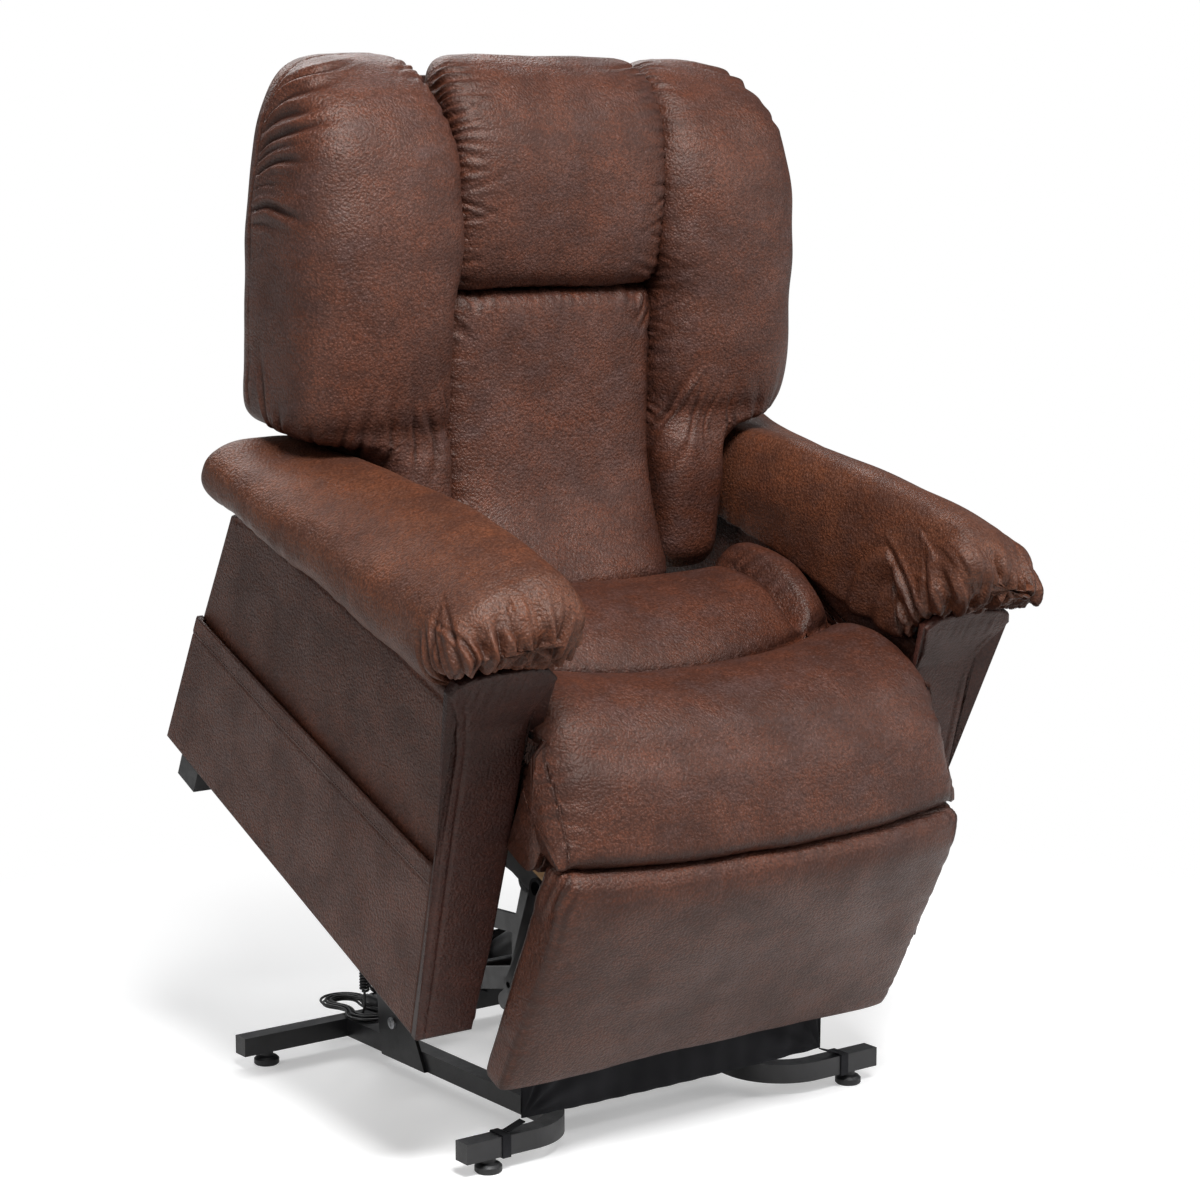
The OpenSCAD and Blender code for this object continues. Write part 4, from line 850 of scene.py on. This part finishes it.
# %% [markdown]
# ## Flat covered panels
# The sides, the arm fronts and the back are boards with a thin padding. Each is drawn as a four-sided
# patch between its edge lines, with a soft rolled edge and a slight crown.

# %% A padded slab
def along(points, shares):
    """Points at given shares of a polyline's length."""
    points = np.asarray(points, float)
    run = np.r_[0, np.cumsum(np.linalg.norm(np.diff(points, axis=0), axis=1))]
    return np.stack([np.interp(np.asarray(shares) * run[-1], run, points[:, k]) for k in range(2)], -1)


def patch(bottom, top, start, end, across_n, up_n):
    """A grid between four edge lines that share their corners, finer near its edges."""
    def shares(count):
        u = np.linspace(0, 1, count)
        return 0.55 * u + 0.45 * (1 - np.cos(np.pi * u)) / 2
    s, t = shares(across_n), shares(up_n)
    b, c, l, r = along(bottom, s), along(top, s), along(start, t), along(end, t)
    s, t = s[:, None, None], t[None, :, None]
    flat = (1 - t) * b[:, None] + t * c[:, None] + (1 - s) * l[None] + s * r[None]
    flat -= (1 - s) * (1 - t) * b[0] + s * (1 - t) * b[-1] + (1 - s) * t * c[0] + s * t * c[-1]
    return flat, s[..., 0], t[..., 0]


def edge_distance(flat):
    """How far each grid point is from the patch's start, end, bottom and top edges, in mm."""
    step_s = np.linalg.norm(np.diff(flat, axis=0), axis=2)
    step_t = np.linalg.norm(np.diff(flat, axis=1), axis=2)
    run_s = np.concatenate([np.zeros((1, flat.shape[1])), np.cumsum(step_s, 0)])
    run_t = np.concatenate([np.zeros((flat.shape[0], 1)), np.cumsum(step_t, 1)], 1)
    return run_s, run_s[-1] - run_s, run_t, run_t[:, -1:] - run_t


def rolled(distance, radius):
    """0 at an edge, rising on a quarter circle to 1 at radius mm from it."""
    return np.sqrt(1 - (1 - np.clip(distance / radius, 0, 1)) ** 2)


def slab(flat, s, t, thick, crown, radius, to_point, seed, lumps=1.0, low=0.0):
    """Rings of a padded slab. to_point(a, b, height) sets the plane; low is the inner face's height."""
    d = edge_distance(flat)
    nearest = np.minimum(np.minimum(d[0], d[1]), np.minimum(d[2], d[3]))
    outer = thick - radius * (1 - rolled(nearest, radius))
    outer = outer + crown * (1 - (2 * s - 1) ** 4) * (1 - (2 * t - 1) ** 4)
    points = np.concatenate([flat, np.zeros(flat.shape[:2] + (1,))], -1)
    outer = outer + lumps * waves(points, 130, seed) * rolled(nearest, 40)
    inner = np.broadcast_to(low, outer.shape)
    face = to_point(flat[..., 0], flat[..., 1], outer)
    back = to_point(flat[..., 0], flat[..., 1], inner)
    return np.concatenate([face, back[:, ::-1]], 1)


def beside(x0, side=1):
    """A slab that stands on the plane X = x0 and is measured in Y, Z."""
    return lambda a, b, h: np.stack([side * (x0 + h), a, b], -1)


def front_at(z):
    """Y of the leaning front edge of an arm."""
    return np.interp(z, [-20, 212, 372, 430, 457], [22, 68, 94, 84, 82])


def edge_line(z_list, back=14.2):
    return [[float(front_at(z)) + back, z] for z in z_list]


print("front edge", edge_line([-19, 212, 372, 398]))

# %% Outer sides of the arms
top_line = [edge_line([398])[0], [129, 398], [230, 390], [360, 382], [540, 366], [600, 353], [640, 340],
            [655, 330]]
rear_line = [[681, -20], [669, 170], [655, 330]]
front_line = edge_line([-20, 212, 372, 398])
flat, s, t = patch([front_line[0], [681, -20]], top_line, front_line, rear_line, 180, 110)
for side, name, thick in ((-1, "left", 12.0), (1, "right", 13.0)):
    rings = slab(flat, s, t, thick, 2.5, 6, beside(374, side), 91 if side < 0 else 93, 0.8)
    if side > 0:   # pressed flat behind the pocket of the hand control
        held = np.exp(-(((rings[..., 1] - 167) / 70) ** 4 + ((rings[..., 2] - 255) / 110) ** 4))
        rings[..., 0] -= np.clip(rings[..., 0] - 386.5, 0, None) * held
    normals = np.zeros_like(rings)
    normals[:, :flat.shape[1], 0] = side
    strip = [[side * 388, y, z] for y, z in ((118, 382), (275, 374), (368, 367), (463, 358), (591, 344), (640, 330))]
    rings = folds(rings, normals, strip, 34, 0.5, 10, 95, width=5, groove=2.4, groove_w=2.6)
    cover(f"side_cover_{name}", rings, "carriage", brown_hide, from_chair, [f"side_panel_{name}"])

# %% [markdown]
# ## Side pocket
# The lower half of the left side is a second layer of the same cover, open along its top. Its hem is
# folded over and stitched; the stitches are one tiny loop of thread that a Geometry Nodes tree
# repeats along the hem line.

# %% Side pocket cover
HEM = 25       # depth of the folded hem, in mm
SEWN = 3       # the stitches run this far inside it
PITCH = 0.0044
pocket_top = [edge_line([195], 14.4)[0], [668, 173]]
pocket_rear = [[679, -20], [668, 173]]
pocket_front = edge_line([-20, 195], 14.4)
flat, s, t = patch([edge_line([-20], 14.4)[0], [679, -20]], pocket_top, pocket_front, pocket_rear, 220, 110)
d = edge_distance(flat)
shut = np.maximum(1 - np.minimum(np.minimum(d[0], d[1]), d[2]) / 12, 0) > 0
slack = np.sin(np.pi * s) * np.clip(t, 0, 1) ** 2
outer_low = np.where(shut, 12.2, 18.2 + 1.6 * slack)
rings = slab(flat, s, t, 21.0, 0.0, 2.0, beside(374, -1), 97, 0.5, low=outer_low)
half = flat.shape[1]
push = 1.8 * slack + 0.9 * (d[3] < HEM) - 1.0 * np.exp(-((d[3] - HEM) / 2.2) ** 2)
rings[:, :half, 0] -= push
cover("side_pocket_cover", rings, "carriage", brown_hide, from_chair, ["side_pocket"])

# %% Hem stitches
def stitch_tree():
    """A row of thread loops along every edge of a mesh."""
    tree = bpy.data.node_groups.new("stitch_row", "GeometryNodeTree")
    sockets = tree.interface
    sockets.new_socket("Geometry", in_out="INPUT", socket_type="NodeSocketGeometry")
    for label, value in (("Pitch", PITCH), ("Length", 0.0032), ("Thickness", 0.0011)):
        sockets.new_socket(label, in_out="INPUT", socket_type="NodeSocketFloat").default_value = value
    sockets.new_socket("Seed", in_out="INPUT", socket_type="NodeSocketInt").default_value = 5
    sockets.new_socket("Thread", in_out="INPUT", socket_type="NodeSocketMaterial")
    sockets.new_socket("Geometry", in_out="OUTPUT", socket_type="NodeSocketGeometry")
    given, out = add(tree, "NodeGroupInput"), add(tree, "NodeGroupOutput")
    line, points = add(tree, "GeometryNodeMeshToCurve"), add(tree, "GeometryNodeCurveToPoints", mode="LENGTH")
    loop, put = add(tree, "GeometryNodeMeshUVSphere"), add(tree, "GeometryNodeInstanceOnPoints")
    set_in(loop, Segments=8, Rings=6, Radius=0.5)
    varied, size = add(tree, "FunctionNodeRandomValue", data_type="FLOAT"), add(tree, "ShaderNodeCombineXYZ")
    varied.inputs[2].default_value, varied.inputs[3].default_value = 0.85, 1.1
    real, dress = add(tree, "GeometryNodeRealizeInstances"), add(tree, "GeometryNodeSetMaterial")
    join = tree.links.new
    join(given.outputs["Geometry"], line.inputs["Mesh"])
    join(line.outputs["Curve"], points.inputs["Curve"])
    join(given.outputs["Pitch"], points.inputs["Length"])
    join(given.outputs["Seed"], varied.inputs["Seed"])
    join(given.outputs["Thickness"], size.inputs["X"])
    join(given.outputs["Thickness"], size.inputs["Y"])
    join(calc(tree, "MULTIPLY", given.outputs["Length"], varied.outputs[1]), size.inputs["Z"])
    join(points.outputs["Points"], put.inputs["Points"])
    join(loop.outputs["Mesh"], put.inputs["Instance"])
    join(points.outputs["Rotation"], put.inputs["Rotation"])
    join(size.outputs[0], put.inputs["Scale"])
    join(put.outputs["Instances"], real.inputs["Geometry"])
    join(real.outputs["Geometry"], dress.inputs["Geometry"])
    join(given.outputs["Thread"], dress.inputs["Material"])
    join(dress.outputs["Geometry"], out.inputs["Geometry"])
    return tree


thread, _, _ = material("brown_thread", "dark_cover", (0.030, 0.014, 0.010, 1), 0.6, spec=0.3)
stitches = stitch_tree()
row = np.array([[np.interp(HEM - SEWN, d[3][i, ::-1], face[::-1, k]) for k in range(3)]
                for i, face in enumerate(rings[:, :half])])[4:-4]
row[:, 0] -= 0.2
row_mesh = bpy.data.meshes.new("hem_row")
row_mesh.from_pydata(from_chair(row).tolist(), [(i, i + 1) for i in range(len(row) - 1)], [])
hem = link("pocket_hem_stitches", row_mesh)
repeat = hem.modifiers.new("stitches", "NODES")
repeat.node_group = stitches
socket_of = {item.name: item.identifier for item in stitches.interface.items_tree if item.in_out == "INPUT"}
repeat[socket_of["Pitch"]] = PITCH
repeat[socket_of["Thread"]] = thread
bpy.context.view_layer.update()
sewn = bpy.data.meshes.new_from_object(hem.evaluated_get(bpy.context.evaluated_depsgraph_get()))
hem.modifiers.remove(repeat)
hem.data = sewn
# Set Material leaves an empty first slot on a mesh that had no material.
sewn.materials.clear()
sewn.materials.append(thread)
sewn.polygons.foreach_set("material_index", [0] * len(sewn.polygons))
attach(hem, "carriage")
print("hem stitches", len(sewn.polygons), "faces, material", [m.name for m in sewn.materials])

# %% Fronts of the arms
outer_edge = [[395, -20], [395, 345], [403, 385], [429.5, 430]]
inner_edge = [[316, -20], [304, 90], [298, 200], [298, 392], [282, 436]]
arch = [[282, 436], [298, 449], [322, 455], [375, 455], [407, 451], [423, 444], [429.5, 430]]
flat, s, t = patch([[316, -20], [395, -20]], arch, inner_edge, outer_edge, 80, 240)


def arm_face(side):
    return lambda a, b, h: np.stack([side * a, front_at(b) + 14 - h, b], -1)


for side, name in ((-1, "left"), (1, "right")):
    rings = slab(flat, s, t, 14, 1.5, 5, arm_face(side), 101 if side < 0 else 103, 0.7)
    normals = np.zeros_like(rings)
    normals[:, :flat.shape[1], 1] = -1
    seam = [[side * x, float(front_at(z)) - 2, z] for x, z in
            ((383, -16), (382, 100), (382, 230), (383, 340), (391, 385), (404, 412))]
    rings = folds(rings, normals, seam, 16, 0.4, 12, 105, width=6, groove=2.4, groove_w=2.8)
    top = [[side * 290, 80, 426], [side * 360, 80, 427], [side * 424, 80, 426]]
    rings = folds(rings, normals, top, 9, 0.8, 30, 106, width=6)
    cover(f"arm_front_cover_{name}", rings, "carriage", dark_hide, from_chair, ["arm_fronts"])

# %% Inner faces of the arms
inner_top = [edge_line([398])[0], [129, 398], [230, 390], [360, 382], [540, 366], [600, 353], [640, 340]]
inner_rear = [[662, -19], [648, 330], [640, 340]]
front_line = edge_line([-19, 212, 372, 398])
flat, s, t = patch([front_line[0], [662, -19]], inner_top, front_line, inner_rear, 130, 100)
for side, name in ((-1, "left"), (1, "right")):
    rings = slab(flat, s, t, 12, 2.0, 5, lambda a, b, h: np.stack([side * (314 - h), a, b], -1), 107, 0.6)
    cover(f"inner_arm_cover_{name}", rings, "carriage", brown_hide, from_chair, ["inner_arm_panels"])

# %% Rear skirt and rear cover
flat, s, t = patch([[-317, -18], [317, -18]], [[-317, 90], [317, 90]], [[-317, -18], [-317, 90]],
                   [[317, -18], [317, 90]], 120, 40)
rings = slab(flat, s, t, 11.5, 2.0, 5, lambda a, b, h: np.stack([a, 663.2 + h, b], -1), 109, 0.6)
cover("rear_skirt_cover", rings, "carriage", dark_hide, from_chair, ["rear_skirt"])

COVER_W, COVER_TOP, WAIST, CORNER = 350, 741, 322, 95
arc = np.linspace(0, np.pi / 2, 12)
shoulder = [[COVER_W - CORNER + CORNER * math.cos(a), COVER_TOP - CORNER + CORNER * math.sin(a)] for a in arc]
right_edge = [[271, 61], [271, WAIST - 12], [283, WAIST], [COVER_W - 10, WAIST + 1], [COVER_W, WAIST + 12]]
right_edge += shoulder[:7]
left_edge = [[-a, b] for a, b in right_edge]
top_edge = [[-a, b] for a, b in shoulder[6:]] + [[a, b] for a, b in shoulder[6:][::-1]]
flat, s, t = patch([[-271, 61], [271, 61]], top_edge, left_edge, right_edge, 150, 150)
rings = slab(flat, s, t, 15.5, 5.0, 9, lambda a, b, h: np.stack([a, 32.2 + h, b], -1), 111, 1.2)
cover("rear_cover", rings, "back", dark_hide, from_back, ["back_panel"])

# %% [markdown]
# ## Footrest
# A board with a padded face. The cover is pulled tight round the edges, so the bottom corners are
# crisp, and a seam runs down each front corner.

# %% Footrest cover
BOW, SAG = 25, 4   # the face bows forwards in the middle, and its lower edge rises
# Rows: [height, half width, front, rear]
foot_rows = [
    [-66.5, 299, -38, -10], [-65, 302, -43, -5], [-61, 304, -46, -1], [-40, 305, -49, 1], [40, 305, -55, 1],
    [140, 305, -63, 1], [205, 305, -64, 1], [234, 304, -58, -1], [244, 300, -51, -6], [249, 291, -44, -12],
]
foot = even_rings(box_rings([[v, -w, w, f, r] for v, w, f, r in foot_rows], 160, 400, 9))
share = 1 - np.abs(foot[..., 0] / 305).clip(0, 1) ** 3
bow = BOW * np.clip((foot[..., 2] + 66) / 290, 0, 1)
foot[..., 1] -= bow * share * np.clip((-20 - foot[..., 1]) / 25, 0, 1)
foot[..., 2] += SAG * share * np.clip((-30 - foot[..., 2]) / 30, 0, 1)
normals = out_normals(foot)
foot = foot + normals * (waves(foot, 210, 121) * 1.6 + waves(foot, 80, 122) * 0.6)[..., None]
for side, seed in ((-1, 123), (1, 124)):
    seam = [[side * 303, -44, -62], [side * 304, -50, 40], [side * 304, -58, 140], [side * 303, -52, 244]]
    foot = folds(foot, normals, seam, 9, 0.6, 30, seed, width=8, groove=2.2, groove_w=3)
    corner = [[side * 304, -20, 243], [side * 303, -42, 246], [side * 290, -54, 248]]
    foot = folds(foot, normals, corner, 4, 2.6, 52, seed + 2, width=7)
foot = folds(foot, normals, [[-290, -34, 248], [0, -66, 248], [290, -34, 248]], 14, 0.8, 30, 127, width=9)
cover("footrest_cover", foot, "footrest", brown_hide, from_chair, ["footrest_pad"])

# %% Hand control pocket
pouch_back = 386.2
flat, s, t = patch([[120, 170], [214, 170]], [[120, 281], [214, 281]], [[120, 170], [120, 281]],
                   [[214, 170], [214, 281]], 90, 90)
d = edge_distance(flat)
side_gap = np.minimum(np.minimum(d[0], d[1]), d[2])
outer = 30 * rolled(side_gap, 16) ** 0.8 + 0.6 * (d[3] < 14) - 0.9 * np.exp(-((d[3] - 14) / 2) ** 2)
inner = np.where(side_gap < 3, 0, np.maximum(outer - 3, 0))
face = np.stack([pouch_back + outer, flat[..., 0], flat[..., 1]], -1)
back = np.stack([pouch_back + inner, flat[..., 0], flat[..., 1]], -1)
cover("control_pouch_cover", np.concatenate([face, back[:, ::-1]], 1), "carriage", brown_hide,
      from_chair, ["control_pocket"])

# %% [markdown]
# ## Cloth shroud
# A thin black cloth closes the gap under the footrest. It hangs from the underside and elastic straps
# hold its corners to the foot tubes, so it falls in a few soft upright folds.

# %% Shroud
SHROUD_W, SHROUD_LOW, SHROUD_HIGH = 238, 54, 150
black_cloth, tree, bsdf = material("black_cloth", "black_cloth", (0.010, 0.010, 0.012, 1), 0.82, spec=0.25)
cloth_at = add(tree, "ShaderNodeTexCoord").outputs["Object"]
weave = noise(tree, cloth_at, 700, 2, 0.5)
bump(tree, bsdf, weave, 0.0005, 0.7)
tone = spread(tree, noise(tree, cloth_at, 9, 3, 0.6), 0.35, 0.65)
tree.links.new(mix_colour(tree, tone, (0.007, 0.007, 0.009, 1), (0.017, 0.017, 0.020, 1)), bsdf.inputs["Base Color"])

x, h = np.meshgrid(np.linspace(-SHROUD_W, SHROUD_W, 240), np.linspace(0, 1, 26), indexing="ij")
drape = -3 * h + 1.6 * h * np.sin(np.radians(x * 4.1)) + 0.8 * np.sin(np.radians(x * 9.7 + 40))
for side in (-1, 1):
    out_x, up = (SHROUD_W - side * x), (SHROUD_HIGH - SHROUD_LOW) * h
    turn, away = np.degrees(np.arctan2(up, out_x + 1)), np.hypot(out_x, up)
    drape += 3.2 * np.sin(np.radians(turn * 14)) * np.exp(-away / 120) * np.minimum(1, away / 25)
    turn = np.degrees(np.arctan2(SHROUD_HIGH - SHROUD_LOW - up, out_x + 1))
    drape += 2.2 * np.sin(np.radians(turn * 12 + 60)) * np.exp(-np.hypot(out_x, 96 - up) / 90)
z = SHROUD_LOW + (SHROUD_HIGH - SHROUD_LOW) * h + (1 - h) * 3 * (x / SHROUD_W) ** 2
cloth = np.stack([x, drape, z], -1)
gap = np.array([0, 0.8, 0])
shroud = shell("shroud_cloth", np.concatenate([cloth - gap, (cloth + gap)[:, ::-1]], 1), from_base)
shroud.data.materials.append(black_cloth)
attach(shroud, "base")
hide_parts("base_shroud")
print("shroud", [round(v * 1000) for v in shroud.dimensions])

# %% [markdown]
# ## Finishes of the hard parts
# Powder-coated tube, plated pins, moulded plastic and plywood. Each finish gets its own scale of
# unevenness, because even a new powder coat has a fine orange-peel skin.

# %% Hard finishes
def coated(name, slot_name, low, high, rough, metal, grain_scale, grain_depth, spec=0.5):
    """A solid finish with two close tones, a slightly uneven gloss and a fine skin."""
    made, tree, bsdf = material(name, slot_name, high, rough, metal, spec)
    at = add(tree, "ShaderNodeTexCoord").outputs["Object"]
    clouds = noise(tree, at, 22, 4, 0.6)
    tree.links.new(mix_colour(tree, spread(tree, clouds, 0.3, 0.7), low, high), bsdf.inputs["Base Color"])
    uneven = noise(tree, at, 60, 3, 0.6)
    tree.links.new(spread(tree, uneven, 0.3, 0.7, rough - 0.06, rough + 0.08), bsdf.inputs["Roughness"])
    bump(tree, bsdf, noise(tree, at, grain_scale, 2, 0.5), grain_depth, 0.8)
    return made


def plywood():
    made, tree, bsdf = material("plywood", "timber", (0.50, 0.33, 0.18, 1), 0.62, spec=0.35)
    at = add(tree, "ShaderNodeTexCoord").outputs["Object"]
    grain = noise(tree, at, 8, 6, 0.65, stretch=(9, 1.2, 9), distort=0.4)
    plies = noise(tree, at, 30, 2, 0.5, stretch=(0.2, 0.2, 12))
    warm = mix_colour(tree, spread(tree, grain, 0.3, 0.7), (0.36, 0.21, 0.10, 1), (0.60, 0.42, 0.24, 1))
    dark_plies = calc(tree, "MULTIPLY", spread(tree, plies, 0.5, 0.62), 0.35)
    tree.links.new(mix_colour(tree, dark_plies, warm, (0.26, 0.14, 0.07, 1)), bsdf.inputs["Base Color"])
    bump(tree, bsdf, grain, 0.0006, 0.6)
    return made


# Slot: name, darker grey, lighter grey, roughness, metallic, grain scale, grain depth
coats = {
    "black_steel": ("satin_black_coat", (0.010, 0.010, 0.011), (0.017, 0.017, 0.019), 0.34, 0.0, 900, 0.00012),
    "grey_steel": ("grey_steel", (0.22, 0.23, 0.24), (0.30, 0.31, 0.32), 0.42, 0.9, 500, 0.0001),
    "bright_zinc": ("bright_zinc", (0.55, 0.56, 0.58), (0.68, 0.69, 0.70), 0.28, 1.0, 700, 0.00006),
    "spring_wire": ("spring_wire", (0.14, 0.14, 0.15), (0.22, 0.22, 0.23), 0.36, 0.9, 600, 0.00008),
    "black_plastic": ("black_plastic", (0.012, 0.012, 0.013), (0.020, 0.020, 0.021), 0.46, 0.0, 1400, 0.0002),
    "cord_black": ("cord_jacket", (0.009, 0.009, 0.010), (0.015, 0.015, 0.016), 0.40, 0.0, 600, 0.0001),
    "button_grey": ("button_grey", (0.36, 0.37, 0.39), (0.44, 0.45, 0.47), 0.40, 0.0, 1200, 0.00015),
}
finishes = {slot_name: coated(name, slot_name, low + (1,), high + (1,), *rest)
            for slot_name, (name, low, high, *rest) in coats.items()}
finishes.update(black_cloth=black_cloth, timber=plywood(), brown_cover=brown_hide, dark_cover=dark_hide)
slot_of = {row["node"]: row["material_slot"] for row in frame["record"]["subparts"]}
for name, obj in nodes.items():
    for part in obj.material_slots:
        part.material = finishes[slot_of[name]]
for obj in (power_cord, cord_relief):
    obj.data.materials.append(finishes["cord_black"])
print("finishes", sorted(finishes))

# %% The cord joins its body
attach(power_cord, "base")
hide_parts("cord_lead", "curly_cord", "cord_hank")
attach(cord_relief, "base")

# %% [markdown]
# ## Studio
# A white floor and a white surround. The key lamp hangs high at the front left, two weaker upright
# ones stand to the right and far left, and a wide one behind draws the outline. The floor adds a
# little light of its own for the camera, so it reaches white and still keeps the shadow. The light
# that it sends back to the chair is dimmer, so that the low covers stay brown.

# %% Studio
def lamp(name, size, power, place, aim=(0, 0, 0.7)):
    data = bpy.data.lights.new(name, "AREA")
    data.shape = "RECTANGLE"
    data.size, data.size_y = size
    data.energy = power
    obj = bpy.data.objects.new(name, data)
    scene.collection.objects.link(obj)
    obj.location = place
    obj.rotation_euler = (Vector(place) - Vector(aim)).to_track_quat("Z", "Y").to_euler()
    return obj


lamp("key", (1.6, 1.1), 240, (-0.8, -2.2, 3.8))
lamp("right", (1.0, 1.9), 52, (2.9, -2.4, 2.1))
lamp("left", (0.7, 1.8), 20, (-3.2, -0.8, 1.8))
lamp("rear", (3.0, 1.2), 60, (0.6, 2.6, 3.0))

world = bpy.data.worlds.new("studio")
scene.world = world
world.use_nodes = True
tree = world.node_tree
tree.nodes.clear()
seen = add(tree, "ShaderNodeBackground")
seen.inputs["Strength"].default_value = 1.0
seen.inputs["Color"].default_value = (1, 1, 1, 1)
ambient = add(tree, "ShaderNodeBackground")
ambient.inputs["Color"].default_value = (0.95, 0.97, 1.0, 1)
ambient.inputs["Strength"].default_value = 0.15
path = add(tree, "ShaderNodeLightPath")
mixer = add(tree, "ShaderNodeMixShader")
shown = calc(tree, "MAXIMUM", path.outputs["Is Camera Ray"], path.outputs["Is Transmission Ray"])
tree.links.new(shown, mixer.inputs[0])
tree.links.new(ambient.outputs[0], mixer.inputs[1])
tree.links.new(seen.outputs[0], mixer.inputs[2])
tree.links.new(mixer.outputs[0], add(tree, "ShaderNodeOutputWorld").inputs[0])

floor_mesh = bpy.data.meshes.new("floor")
floor_mesh.from_pydata([(-30, -30, 0), (30, -30, 0), (30, 30, 0), (-30, 30, 0)], [], [(0, 1, 2, 3)])
floor = link("floor", floor_mesh)
floor_look = bpy.data.materials.new("floor")
floor_look.use_nodes = True
tree = floor_look.node_tree
tree.nodes.clear()
plain = add(tree, "ShaderNodeBsdfDiffuse")
plain.inputs["Color"].default_value = (0.80, 0.80, 0.80, 1)
glow = add(tree, "ShaderNodeEmission")
glow.inputs["Strength"].default_value = 0.36
both = add(tree, "ShaderNodeAddShader")
tree.links.new(plain.outputs[0], both.inputs[0])
tree.links.new(glow.outputs[0], both.inputs[1])
white = add(tree, "ShaderNodeEmission")
spot = add(tree, "ShaderNodeVectorMath", operation="LENGTH")
tree.links.new(add(tree, "ShaderNodeTexCoord").outputs["Object"], spot.inputs[0])
far = add(tree, "ShaderNodeMixShader")
tree.links.new(spread(tree, spot.outputs["Value"], 0.75, 1.5), far.inputs[0])
tree.links.new(both.outputs[0], far.inputs[1])
tree.links.new(white.outputs[0], far.inputs[2])
path = add(tree, "ShaderNodeLightPath")
mirrored_floor = calc(tree, "MULTIPLY", path.outputs["Is Glossy Ray"], 0.6)
shown = calc(tree, "MAXIMUM", calc(tree, "MAXIMUM", path.outputs["Is Camera Ray"], mirrored_floor),
             path.outputs["Is Transmission Ray"])
mixer = add(tree, "ShaderNodeMixShader")
tree.links.new(shown, mixer.inputs[0])
bounce = add(tree, "ShaderNodeBsdfDiffuse")
bounce.inputs["Color"].default_value = (0.42, 0.41, 0.40, 1)
tree.links.new(bounce.outputs[0], mixer.inputs[1])
tree.links.new(far.outputs[0], mixer.inputs[2])
tree.links.new(mixer.outputs[0], add(tree, "ShaderNodeOutputMaterial").inputs[0])
floor_mesh.materials.append(floor_look)
scene.view_settings.view_transform = "Standard"
print("studio ready")
